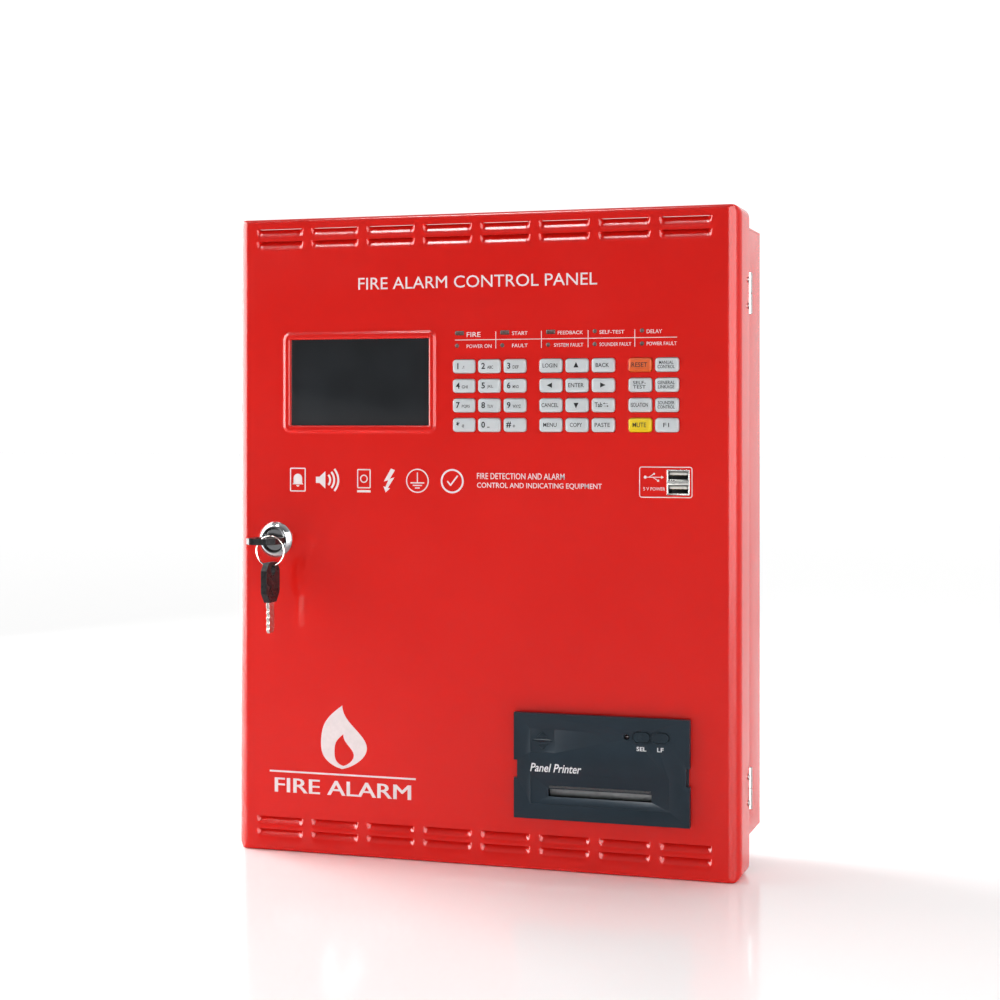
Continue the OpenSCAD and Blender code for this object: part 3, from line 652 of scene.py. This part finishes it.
# The outline round the sockets, a plug sign and their caption.
plug_at = on_door(112.2, 39.5)
tip = np.array([[0.0062, 0], [0.0046, 0.0009], [0.0046, -0.0009]])
legends += [
    outline_band(soft_outline(on_door(119.6, 36.5), 0.0329, 0.0188, 0.0016), 0.0005),
    plate(round_outline(plug_at + [-0.0053, 0], 0.0009, 18)),
    stroke(plug_at + [-0.0055, 0], plug_at + [0.0048, 0], thin_w, up=over),
    plate(plug_at + tip),
    stroke(plug_at + [-0.003, 0], plug_at + [0.0, 0.002], thin_w),
    plate(round_outline(plug_at + [0.0002, 0.0021], 0.0006, 14)),
    stroke(plug_at + [-0.0005, 0], plug_at + [0.0024, -0.002], thin_w),
    plate(soft_outline(plug_at + [0.0027, -0.0021], 0.0012, 0.0012, 0.0001, 2)),
    door_words("5 V POWER", 105.7, 119.2, 31.4, 33.4)]

# The emblem: a flame over a bar, with a plain caption.
flame_t = np.linspace(0, 1, 40)
flame_side = np.sin(pi * flame_t ** 0.72) * (0.0172 - 0.004 * flame_t)
flame_lean = 0.0042 * np.sin(2 * pi * flame_t) * flame_t
flame_z = 0.0405 * flame_t
flame_at = on_door(-91.4, -148.6)


def leaf(side, lean, z):
    """A closed outline up one side of a leaning middle line and down the other."""
    return np.vstack([np.stack([lean + side, z], -1), np.stack([lean - side, z], -1)[-2:0:-1]])


legends.append(plate(flame_at + leaf(flame_side, flame_lean, flame_z)))
legends.append(stroke(on_door(-141.8, -152.3), on_door(-41.4, -152.3), 0.0011))
legends += [door_words(
    "FIRE ALARM", -138.0 + k * 0.3, -44.8 + k * 0.3, -165.6, -156.4,
    up=ink_up * (1 + 0.1 * k)) for k in (-1, 0, 1)]
door_ink = screen_ink("white_ink", (0.82, 0.73, 0.73), 0.42, 400)
make_piece("door_legends", legends, door_ink, "door")
heart = flame_at + [0.0008, 0.002] + leaf(flame_side * 0.42, flame_lean * 0.5, flame_z * 0.5)
make_piece("emblem_heart", [plate(heart, up=ink_up * 1.6)], door_red, "door")

# ---- Display ----
# A 4.3 inch display behind the window: one pane of dark, faintly cloudy glass with a softened
# edge, bonded on the panel and held behind the raised frame.
glass_low, glass_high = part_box("display_panel")


def pillow(outline, profile):
    """A closed form of stacked outlines: each step of the profile is (distance in from the
    outline, y). The first and last steps are closed with a face."""
    points, faces = patch([at_depth(grown(outline, -inset), y) for inset, y in profile], loop=True)
    count = len(outline)
    ends = [list(range(count)), list(range(len(points) - count, len(points)))[::-1]]
    return points, faces.tolist() + ends


glass = surface("display_glass", (14, 3, (0.010, 0.012, 0.014), (0.017, 0.020, 0.024)),
                (55, 4, 0.06, 0.13), [(40, 1, 0.000015)])
glass_w, glass_h = glass_high.x - glass_low.x, glass_high.z - glass_low.z
glass_outline = soft_outline(window_at, glass_w, glass_h, 0.0012, 4)
glass_profile = lifted([(0.0006, 0), (0, -0.0004)], glass_high.y)
glass_profile += lifted([(0, 0.0004), (0.0003, 0.0001), (0.0008, 0)], glass_low.y)
make_piece("display_glass", [pillow(glass_outline, glass_profile)], glass, "door",
           ["display_panel"])

# ---- Keypad ----
# Thirty-two silicone caps moulded on one mat, each with a soft edge and a dark printed legend.
# They stand 1.4 mm out of the door and have a flange behind it.
cap_low, cap_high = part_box(key_nodes[0])
cap_flange = (cap_high.x - cap_low.x - key_size[0]) / 2
cap_face, cap_back = cap_low.y, cap_high.y


def silicone(name, color):
    """Moulded silicone: soft sheen, a little light let through, and a fine matt grain."""
    finish = surface(name, (120, 4, shade(color, 0.94), color), (300, 3, 0.4, 0.55),
                     [(1500, 2, 0.000006)], 0.15)
    shader = finish.node_tree.nodes["Principled BSDF"]
    shader.inputs["Subsurface Weight"].default_value = 0.15
    shader.inputs["Subsurface Radius"].default_value = (0.0008, 0.0007, 0.0006)
    shader.inputs["Subsurface Scale"].default_value = 1.0
    return finish


pale_cap = silicone("pale_silicone", (0.63, 0.67, 0.69))
orange_cap = silicone("orange_silicone", (0.78, 0.12, 0.016))
yellow_cap = silicone("yellow_silicone", (0.86, 0.62, 0.004))
cap_ink = screen_ink("dark_ink", (0.012, 0.014, 0.016), 0.5, 900, 0.1)
cap_colors = {"key_reset": orange_cap, "key_mute": yellow_cap}
mark_up = 0.00003
# Each caption and its width in millimetres, the small letters by each digit, and the arrows' turn.
caption_of = {
    "login": ("LOGIN", 9.4), "back": ("BACK", 8.4), "enter": ("ENTER", 9.9),
    "cancel": ("CANCEL", 10.8), "menu": ("MENU", 8.6), "copy": ("COPY", 7.8),
    "paste": ("PASTE", 9.6), "reset": ("RESET", 9.8), "isolate": ("ISOLATION", 10.6),
    "mute": ("MUTE", 8.4), "f1": ("F1", 3.6), "manual": ("MANUAL\nCONTROL", 10.6),
    "self_test": ("SELF-\nTEST", 8), "linkage": ("GENERAL\nLINKAGE", 10.6),
    "sounder": ("SOUNDER\nCONTROL", 10.6)}
letters_of = {"1": ".,?!", "2": "ABC", "3": "DEF", "4": "GHI", "5": "JKL", "6": "MNO", "7": "PQRS",
              "8": "TUV", "9": "WXYZ", "star": "@", "0": "_", "hash": "+"}
arrow_turn = {"up": 90, "down": 270, "left": 180, "right": 0}
cap_profile = lifted([
    (0.0016, 0), (0.0011, 0.00006), (0.0007, 0.00018), (0.00035, 0.00042),
    (0.0001, 0.0008), (0, 0.0012)], cap_face)
cap_profile += lifted([(0, -0.0014), (-cap_flange, -0.0013), (-cap_flange, 0), (0.002, 0)], cap_back)


def legend_of(node, at):
    """The marks printed on one cap, as thin closed solids on its face."""
    x, z = at + [-0.0003, 0.0001]
    sign = node[4:]

    def mark(text, left, right, low, high, bold, keep=False):
        corners = (x + left, z + low), (x + right, z + high)
        return words(text, *corners, cap_face, bold, up=mark_up, keep=keep)

    if sign in arrow_turn:
        spread = np.radians(arrow_turn[sign] + np.array([0, 130, 230]))
        tip = np.stack([np.cos(spread), np.sin(spread)], -1) * 0.0021
        return [plate(np.array([x, z]) + tip, cap_face, mark_up)]
    if sign == "tab":
        marks = [mark("Tab", -0.0048, 0, -0.0013, 0.0016, 0.016)]
        for dz, way in ((0.0009, -1), (-0.0007, 1)):
            middle = np.array([x + 0.0022, z + dz])
            marks.append(stroke(middle - [0.0013, 0], middle + [0.0013, 0], 0.0002, cap_face, mark_up))
            head = middle + way * np.array([[0.0018, 0], [0.0008, 0.0006], [0.0008, -0.0006]])
            marks.append(plate(head[::-1] if way < 0 else head, cap_face, mark_up * 1.2))
        return marks
    if sign in caption_of:
        text, width = caption_of[sign]
        half = width / 2000
        if "\n" in text:
            return [mark(text, -half, half, -0.0023, 0.0023, 0.01)]
        tall = 0.0014 if sign in ("reset", "mute") else 0.00128
        return [mark(text, -half, half, -tall, tall, 0.008)]
    small = letters_of[sign]
    width = 0.0016 if sign in ("1", "star", "0", "hash") else 0.0013 * len(small)
    low = -0.0006 if sign == "star" else -0.0018
    high = -0.0012 if sign == "0" else 0.0003
    large = {"star": "*", "hash": "#"}.get(sign, sign)
    return [mark(large, -0.0045, -0.0023, low, 0.002, 0.022, True),
            mark(small, -0.0008, -0.0008 + width, -0.0017, high, 0.012)]


for node, at in key_places.items():
    cap = pillow(soft_outline(at, key_size[0], key_size[1], 0.0018, 5), cap_profile)
    make_piece(node + "_cap", [cap], cap_colors.get(node, pale_cap), node, [node])
    make_piece(node + "_legend", legend_of(node, at), cap_ink, node)



# ---- Indicator lamps ----
# Small diffusing lenses that stand a little out of the door: three bars and seven round ones,
# all unlit, so they look a dull grey brown.
lens = surface("unlit_lens", (500, 2, (0.07, 0.035, 0.03), (0.12, 0.065, 0.055)),
               (900, 2, 0.22, 0.4), [(1600, 1, 0.00001)], 0.25)
lens_profile = lifted([(0.0008, 0), (0.0005, 0.00006), (0.0002, 0.0002), (0, 0.0005)], lamp_low.y)
lens_profile += lifted([(0, -0.0002), (0.0002, 0)], lamp_high.y)
lenses = [soft_outline(place, 0.0058, 0.0025, 0.0009, 3) for place in bar_places]
lenses += [round_outline(place, lamp_r, 20) for place in dot_places]
make_piece("lamp_lenses", [pillow(shape, lens_profile) for shape in lenses], lens, "door",
           ["indicator_lamps"])

# ---- Double USB socket ----
# Two stacked type A ports in a tin-plated steel shell, each with an ivory tongue that carries
# four contacts.


def as_made(name, node, finish, body, edge=0.0002, steps=2, limit=40, join=True):
    """A CAD node's own shape: its loose triangles merged, its flat faces joined if join is true,
    and its edges rounded by a bevel of a given width."""
    mesh = bpy.data.objects[node].data.copy()
    mesh.name = name
    piece = set_down(name, mesh, finish, body, [node], limit, 2e-6, join)
    bevel = piece.modifiers.new("edges", "BEVEL")
    bevel.width, bevel.segments, bevel.limit_method = edge, steps, "ANGLE"
    bevel.angle_limit = radians(limit)
    bevel.miter_outer = "MITER_ARC"
    bevel.use_clamp_overlap = True
    bevel.harden_normals = True
    return piece


def sorted_faces(piece, finishes, choose):
    """Gives faces one of several finishes by an index worked out from their centres."""
    for finish in finishes:
        piece.data.materials.append(finish)
    count = len(piece.data.polygons)
    middles = np.empty(count * 3)
    piece.data.polygons.foreach_get("center", middles)
    index = choose(middles.reshape(-1, 3)).astype(np.int32)
    piece.data.polygons.foreach_set("material_index", index)


def sheet_metal(name, color, roughness, scratch=60, grain=(1, 1, 14)):
    """Plated metal: drawn grain along one way, fine scratches and cloudy patches of gloss."""
    return surface(
        name, (scratch, 5, shade(color, 0.82), color),
        (scratch * 3, 4, roughness * 0.75, roughness * 1.4), [(scratch * 8, 3, 0.000006)],
        metallic=1.0, grain=grain)


tin = sheet_metal("tin_plate", (0.5, 0.5, 0.48), 0.24)
# Faces of the shell more than 0.8 mm behind the door's face get a near-black copy of the tin: painted
# shade inside the two ports.
tin_painted_shade = sheet_metal("tin_painted_shade", (0.03, 0.03, 0.03), 0.4)
sorted_faces(as_made("usb_shell", "usb_socket", tin, "door", 0.00012), [tin_painted_shade],
             lambda c: c[:, 1] > front + 0.0008)
ivory = surface("ivory_tongue", (300, 3, (0.66, 0.64, 0.58), (0.75, 0.73, 0.68)), 0.38,
                [(900, 2, 0.00001)])
tongues, contacts = [], []
tongue_profile = lifted([(0.0002, 0.0010), (0, 0.0013), (0, 0.009), (0.0002, 0.0092)], front)
contact_profile = lifted([(0.00005, 0.0018), (0, 0.002), (0, 0.009), (0.00005, 0.0091)], front)
for lift in (0.0042, -0.0042):
    middle = socket_at + [0, lift + 0.0011]
    tongues.append(pillow(soft_outline(middle, 0.0111, 0.0017, 0.0003, 2), tongue_profile))
    for step in (-0.0035, -0.001, 0.001, 0.0035):
        shape = soft_outline(middle + [step, -0.0009], 0.0012, 0.0003, 0.0001, 2)
        contacts.append(pillow(shape, contact_profile))
make_piece("usb_tongues", tongues, ivory, "door")
gold = sheet_metal("contact_gold", (0.83, 0.6, 0.25), 0.25)
make_piece("usb_contacts", contacts, gold, "door")

# ---- Cam lock ----
# A die-cast zinc lock, chrome plated: a bevelled bezel clamps the door with a hexagon nut on
# the threaded barrel behind. The plug inside turns with the key and carries a steel cam.
lock_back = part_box("lock_barrel")[1].y
bezel_r, barrel_r, plug_r = 0.0115, 0.0093, 0.00675


def turned(profile, centre, count=72):
    """A surface turned about the Y axis through a centre: the profile gives (radius, y) steps."""
    radius, y = np.asarray(profile, float).T
    angle = np.arange(count) * 2 * pi / count
    x = centre[0] + radius[:, None] * np.cos(angle)
    z = centre[1] + radius[:, None] * np.sin(angle)
    return patch(np.stack([x, np.broadcast_to(y[:, None], x.shape), z], -1), loop=True)


thread_y = np.linspace(inner + 0.001, lock_back - 0.0008, 60)
thread_r = barrel_r - 0.0002 + 0.00018 * np.cos(thread_y / 0.001 * 2 * pi)
bezel = lifted([
    (plug_r + 0.0001, -0.0028), (plug_r + 0.0006, -0.003), (plug_r + 0.0009, -0.0036),
    (plug_r + 0.0013, -0.0038), (0.0088, -0.0038), (0.0092, -0.0036),
    (bezel_r - 0.0003, -0.0011), (bezel_r, -0.0007), (bezel_r, 0.00002),
    (barrel_r, 0.00003)], front)
bezel.append((barrel_r, inner + 0.0008))
bezel += list(zip(thread_r, thread_y))
bezel += [(barrel_r - 0.0005, lock_back), (plug_r + 0.0001, lock_back), bezel[0]]


def plated(name, color, roughness):
    """Bright plating: near mirror gloss with hazy patches, fine hairlines and a faint ripple."""
    return surface(name, (250, 4, shade(color, 0.9), color), (400, 5, roughness * 0.6, roughness * 1.8),
                   [(220, 1, 0.00003), (3000, 2, 0.000002, (1, 1, 8))], metallic=1.0)


chrome = plated("lock_chrome", (0.33, 0.34, 0.35), 0.08)
make_piece("lock_bezel", [turned(bezel, lock_at)], chrome, "door", ["lock_barrel"], 28)
zinc = sheet_metal("zinc_plate", (0.4, 0.4, 0.4), 0.34, 90)
as_made("lock_nut_body", "lock_nut", zinc, "door", 0.0004)
as_made("plug_body", "lock_plug", chrome, "lock_core", limit=50)
as_made("cam_plate", "lock_cam", zinc, "lock_core")

# ---- Keys and ring ----
# Two flat nickel-plated keys with moulded black heads; one stands in the lock and the other
# hangs from it on a split ring of nickel-plated spring wire.
nickel = sheet_metal("nickel_plate", (0.52, 0.49, 0.45), 0.2, 200, (1, 1, 3))
moulded_black = surface(
    "moulded_black", (150, 4, (0.009, 0.009, 0.01), (0.018, 0.018, 0.02)),
    (260, 5, 0.2, 0.4), [(180, 2, 0.00003), (1800, 2, 0.000006)], 0.12)
for node, body in (("key_head", "door_key"), ("spare_key_head", "spare_key")):
    as_made(node + "_grip", node, moulded_black, body, 0.0007, 3)
for node, body in (("key_blade", "door_key"), ("spare_key_blade", "spare_key")):
    as_made(node + "_bit", node, nickel, body, 0.00015)

ring_low, ring_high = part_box("key_ring")
ring_mid = (ring_low + ring_high) / 2
wire_r = 0.00034
coil_r = (ring_high.x - ring_low.x) / 2 - wire_r - 0.00025


def split_ring(turns=1.94, steps=160, around=12):
    """A round wire carried along two flat turns that lie side by side, crossing over in a
    short stretch where the ring is pried open. Both ends are closed to a point."""
    t = np.linspace(0, turns, steps)
    angle = 2 * pi * t + 0.6
    shift = np.clip((t - turns / 2) / 0.06, -1, 1) * wire_r * 1.03
    closing = np.ones(steps)
    closing[[0, -1]] = 0.02
    spin = np.arange(around) * 2 * pi / around
    radius = coil_r + wire_r * closing[:, None] * np.cos(spin)
    x = ring_mid.x + radius * np.cos(angle)[:, None]
    z = ring_mid.z + radius * np.sin(angle)[:, None]
    y = ring_mid.y + shift[:, None] + wire_r * closing[:, None] * np.sin(spin)
    points, faces = patch(np.stack([x, y, z], -1), loop=True)
    last = (steps - 1) * around
    ends = [list(range(around)), list(range(last, last + around))[::-1]]
    return points, faces.tolist() + ends


ring_nickel = plated("ring_nickel", (0.6, 0.57, 0.52), 0.12)
make_piece("split_ring", [split_ring()], ring_nickel, "key_ring", ["key_ring"], 50, 1e-8)

# ---- Panel printer ----
# A slate-grey moulded printer: a front plate that tips open, with two buttons, a status lamp,
# a tear bar over the paper slot and the rubber platen; a body behind holds the paper roll.
cover_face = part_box("printer_cover")[0].y


def moulded_grey(name, color, roughness, grain):
    """Injection-moulded plastic with a spark-eroded grain, slight cloudiness and rub marks."""
    return surface(name, (35, 5, shade(color, 0.85), shade(color, 1.12)),
                   (80, 5, roughness * 0.95, roughness * 1.06),
                   [(grain, 3, 0.000018), (110, 2, 0.00001)], 0.2)


slate = moulded_grey("slate_front", (0.010, 0.021, 0.032), 0.3, 1700)
slate_dark = moulded_grey("slate_body", (0.014, 0.022, 0.030), 0.5, 1200)
slate_button = moulded_grey("slate_button", (0.010, 0.021, 0.031), 0.28, 2400)
as_made("printer_front_plate", "printer_cover", slate, "printer_front", 0.00025, join=False)
as_made("printer_body", "printer_case", slate_dark, "door", 0.0003)
as_made("printer_sel_cap", "printer_key_sel", slate_button, "sel_button", 0.0005, 3)
as_made("printer_lf_cap", "printer_key_lf", slate_button, "lf_button", 0.0005, 3)


def on_printer(u, v):
    """A place on the printer's front plate given from its centre, in millimetres."""
    return printer_at + np.stack([np.asarray(u), np.asarray(v)], -1) / 1000


def print_on_printer(text, left, right, low, high, bold, slant=0.0):
    """Lettering on the front plate in a box given in millimetres from its centre."""
    return words(text, on_printer(left, low), on_printer(right, high), cover_face, bold, slant)


print_ink = screen_ink("printer_ink", (0.8, 0.82, 0.84), 0.45, 700)
marks = [print_on_printer("Panel Printer", -44.7, -12.0, -3.4, 1.8, 0.012, 0.25),
         print_on_printer("SEL", 22.6, 28.6, 12.5, 15.1, 0.016),
         print_on_printer("LF", 35.4, 39.3, 12.5, 15.1, 0.016)]
make_piece("printer_labels", marks, print_ink, "printer_front")

# Raised feed arrows and bar in their shallow square.
recess_face = cover_face + 0.0005
arrow_profile = lifted([(0.0006, -0.00042), (0.0003, -0.0004), (0, -0.0001), (0, 0.0002)], recess_face)
arrows = []
for lift, way in ((3.9, 1), (-3.9, -1)):
    shape = np.array([[3.4, -1.5 * way], [0, 1.5 * way], [-3.4, -1.5 * way]])[::way]
    arrows.append(pillow(on_printer(-36.9, 15.8 + lift) + shape / 1000, arrow_profile))
arrows.append(pillow(soft_outline(on_printer(-36.9, 15.8), 0.0112, 0.0015, 0.0004, 3), arrow_profile))
make_piece("printer_arrows", arrows, slate_button, "printer_front", crease=30)

# Rings round the two buttons and the status lamp.
lamp_at = on_printer(16.5, 20.6)
rim_w = 0.0005
buttons = [soft_outline(on_printer(u, 20.9), 0.0126, 0.0083, 0.0036) for u in (25.7, 37.3)]
rims = [outline_band(button, rim_w, cover_face, 0.0002) for button in buttons]
rims.append(outline_band(round_outline(lamp_at, 0.0022, 32), rim_w, cover_face, 0.00018))
make_piece("printer_rims", rims, slate_button, "printer_front")
smoked = surface("smoked_lamp", (900, 2, (0.012, 0.003, 0.003), (0.03, 0.006, 0.006)), 0.15,
                 [(1500, 1, 0.00001)])
dome = [(0.0015 * sin(a), cover_face + 0.0018 - 0.0014 * cos(a))
        for a in np.linspace(0, pi / 2, 7)]
dome += lifted([(0.0015, 0.0032), (0, 0.0032)], cover_face)
make_piece("printer_lamp", [turned(dome, lamp_at, 24)], smoked, "printer_front")

# The tear bar: a thin blued steel strip along the slot's upper edge with a row of fine teeth.
blued = sheet_metal("blued_steel", (0.07, 0.073, 0.076), 0.28, 200)
tear_low, tear_high = on_printer(-32.6, -13.4), on_printer(31.2, -11.6)
teeth = 60
tooth_x = np.linspace(tear_low[0], tear_high[0], 2 * teeth + 1)
tooth_z = np.where(np.arange(2 * teeth + 1) % 2 == 0, tear_low[1], tear_low[1] + 0.0008)
saw = np.vstack([np.stack([tooth_x, tooth_z], -1), tear_high, [tear_low[0], tear_high[1]]])
make_piece("tear_bar", [plate(saw, recess_face + 0.0001, 0.0003)], blued, "printer_front")

rubber = surface("ground_rubber", (200, 4, (0.22, 0.23, 0.24), (0.3, 0.31, 0.32)), 0.42,
                 [(1500, 3, 0.00002, (0.3, 1, 1))])
as_made("platen_bar", "platen_roller", rubber, "platen", 0.00015)
paper = surface("thermal_paper", (60, 4, (0.8, 0.79, 0.75), (0.88, 0.87, 0.83)), 0.6,
                [(900, 3, 0.00003, (0.1, 1, 1))])
as_made("paper_web_roll", "paper_roll", paper, "paper_roll")
# ---- Steel box ----
# The wall box is folded from 1.2 mm sheet, welded at the corners and coated like the door. A
# lip runs round its mouth, and two knockouts in the top have rubber grommets.
box_red = surface("box_powder_coat", (7, 5, (0.66, 0.010, 0.007), (0.73, 0.015, 0.010)),
                  (25, 4, 0.18, 0.26), [(700, 2, 0.000012), (50, 2, 0.00005)])
for node in ("box_back", "box_top", "box_foot", "box_left", "box_right"):
    as_made(node + "_sheet", node, box_red, "cabinet", 0.0003)
grommet_rubber = surface(
    "grommet_rubber", (150, 4, (0.011, 0.011, 0.012), (0.022, 0.022, 0.023)), 0.55,
    [(1200, 2, 0.00001)])
top_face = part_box("box_top")[1].z
entry_r, entry_x, entry_y = 0.01025, 0.09, -0.0275
grommet_profile = [
    (0, -0.0016), (0.0072, -0.0016), (0.0078, -0.0028), (0.0116, -0.0028),
    (0.0121, -0.0023), (0.0121, -0.0013), (entry_r - 0.0001, -0.0013),
    (entry_r - 0.0001, 0.0001), (0.0121, 0.0001), (0.0121, 0.0012), (0.0116, 0.0017),
    (0.0078, 0.0017), (0.0072, 0.0002), (0, -0.0004)]
grommets = []
for side in (-1, 1):
    points, quads = turned(grommet_profile, (side * entry_x, entry_y), 48)
    grommets.append((points[:, [0, 2, 1]] + [0, 0, top_face], quads))
make_piece("cable_grommets", grommets, grommet_rubber, "cabinet")

# ---- Hinges ----
# Two lift-off pin hinges in bright zinc, riveted to the door and to the inside of the box.
bright_zinc = sheet_metal("bright_zinc", (0.42, 0.42, 0.41), 0.3, 120)
as_made("hinge_box_leaves", "hinge_box_halves", bright_zinc, "cabinet")
as_made("hinge_door_leaves", "hinge_door_halves", bright_zinc, "door")

# ---- Electronics ----
# The main board on its standoffs with relays, capacitors and a processor, the terminal strips,
# and the display board behind the door; green solder mask over copper.
mask_green = surface(
    "solder_mask", (90, 6, (0.009, 0.1, 0.027), (0.02, 0.19, 0.055)),
    (200, 4, 0.24, 0.4), [(420, 3, 0.00004)], spread=(0.42, 0.58))
relay_blue = moulded_grey("relay_case", (0.03, 0.06, 0.16), 0.35, 900)
part_black = moulded_grey("component_case", (0.016, 0.016, 0.018), 0.4, 900)
terminal_green = moulded_grey("terminal_green", (0.025, 0.3, 0.09), 0.4, 1100)
board_low, board_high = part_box("main_board")
board_thick, proud_by = 0.0016, 0.0003
relay_from, relay_to, sink_from = 0.061, 0.079, 0.167
board_face = board_high.y - board_thick


def main_board_parts(c):
    """0 the board, 1 relays along the upper part, 2 black chips and capacitors, 3 heat sink."""
    above = c[:, 1] < board_face - proud_by
    u, v = c[:, 0] - board_low.x, c[:, 2] - board_low.z
    relay = above & (v > relay_from) & (v < relay_to)
    sink = above & (u > sink_from)
    return np.where(relay, 1, np.where(sink, 3, np.where(above, 2, 0)))


sorted_faces(as_made("main_board_parts", "main_board", mask_green, "cabinet"),
             [relay_blue, part_black, zinc], main_board_parts)
as_made("terminal_strips", "terminal_blocks", terminal_green, "cabinet", 0.0003)

# A plated clamp screw with a slot at the foot of each of the thirty-six terminal wells.
screw_profile = [(0, -0.0105), (0.0009, -0.0106), (0.0013, -0.0104), (0.00145, -0.0101),
                 (0.00145, -0.0099)]
first_well, strip_pitch, well_pitch, well_drop, screw_top = 0.0174, 0.068, 0.005, 0.007, 0.01062
screws = []
for block in range(3):
    for way in range(12):
        spot = (board_low.x + first_well + block * strip_pitch + way * well_pitch,
                board_high.z - well_drop)
        points, quads = turned(screw_profile, spot, 16)
        screws.append((points + [0, board_face, 0], quads))
        cut = soft_outline(spot, 0.0024, 0.0004, 0.0001, 1)
        screws.append(plate(cut, board_face - screw_top, 0.00004))
make_piece("terminal_screws", screws, zinc, "cabinet")

# The display board hangs on ten posts welded inside the door, with a nut on each.
card_face, card_back = front + 0.008, front + 0.0096
connector_x, connector_half = 0.03, 0.021


def display_board_faces(c):
    """0 the board, 1 black switches, chips and the cell holder, 2 the pale connector."""
    behind = c[:, 1] > card_back + proud_by
    near = (np.abs(c[:, 0] - connector_x) < connector_half) & behind
    return np.where(near, 2, np.where(behind | (c[:, 1] < card_face - proud_by), 1, 0))


socket_white = moulded_grey("socket_white", (0.62, 0.6, 0.54), 0.45, 900)
sorted_faces(as_made("display_board_parts", "display_board", mask_green, "door"),
             [part_black, socket_white], display_board_faces)
post_profile = lifted([(0, 0), (0.0031, 0), (0.0024, 0.0004), (0.002, 0.001)], inner)
post_profile += [(0.002, card_face), (0, card_face)]
nut_profile = lifted([(0.0003, 0), (0, 0.0002), (0, 0.0021), (0.0004, 0.0023)], card_back)
end_profile = lifted(
    [(0, 0.0022), (0.0015, 0.0022), (0.0015, 0.0034), (0.0012, 0.0038), (0, 0.0038)],
    card_back)
posts = []
for u in (-135.6, -22, 35.8, 92.3, 133.4):
    for v in (134.5, 62.5):
        spot = on_door(u, v)
        posts += [turned(post_profile, spot, 20), pillow(round_outline(spot, 0.0032, 6), nut_profile),
                  turned(end_profile, spot, 16)]
make_piece("door_posts", posts, bright_zinc, "door", crease=30)

# ---- Power supply and batteries ----
# A vented zinc-plated supply with its terminals at the left, and two sealed batteries in moulded
# cases held to the back by a plated bracket.
supply_steel = sheet_metal("supply_steel", (0.4, 0.41, 0.42), 0.36, 40, (14, 1, 1))
as_made("supply_cover", "power_supply", supply_steel, "cabinet", join=False)
battery_plastic = moulded_grey("battery_case", (0.02, 0.022, 0.025), 0.45, 700)
battery_low, battery_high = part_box("batteries")
battery_tall, battery_tabs, tab_half, tab_back = 0.061, (0.012, 0.116), 0.003, 0.0515


def battery_faces(c):
    """0 the case, 1 the two plated tabs on top of each battery."""
    over_top = battery_high.z - c[:, 2]
    lower_top = c[:, 2] - (battery_low.z + battery_tall)
    in_reach = (over_top < 0.0013) | ((lower_top > -0.0013) & (lower_top < 0.0001))
    along = c[:, 0] - battery_low.x
    at_tab = np.min([np.abs(along - tab - tab_half) for tab in battery_tabs], 0) < 0.0032
    in_line = np.abs(c[:, 1] - battery_high.y + tab_back) < 0.0006
    return np.where(in_reach & at_tab & in_line, 1, 0)


sorted_faces(as_made("battery_cases", "batteries", battery_plastic, "cabinet", 0.0008, 3),
             [zinc], battery_faces)
as_made("battery_cradle", "battery_bracket", supply_steel, "cabinet", 0.0003)
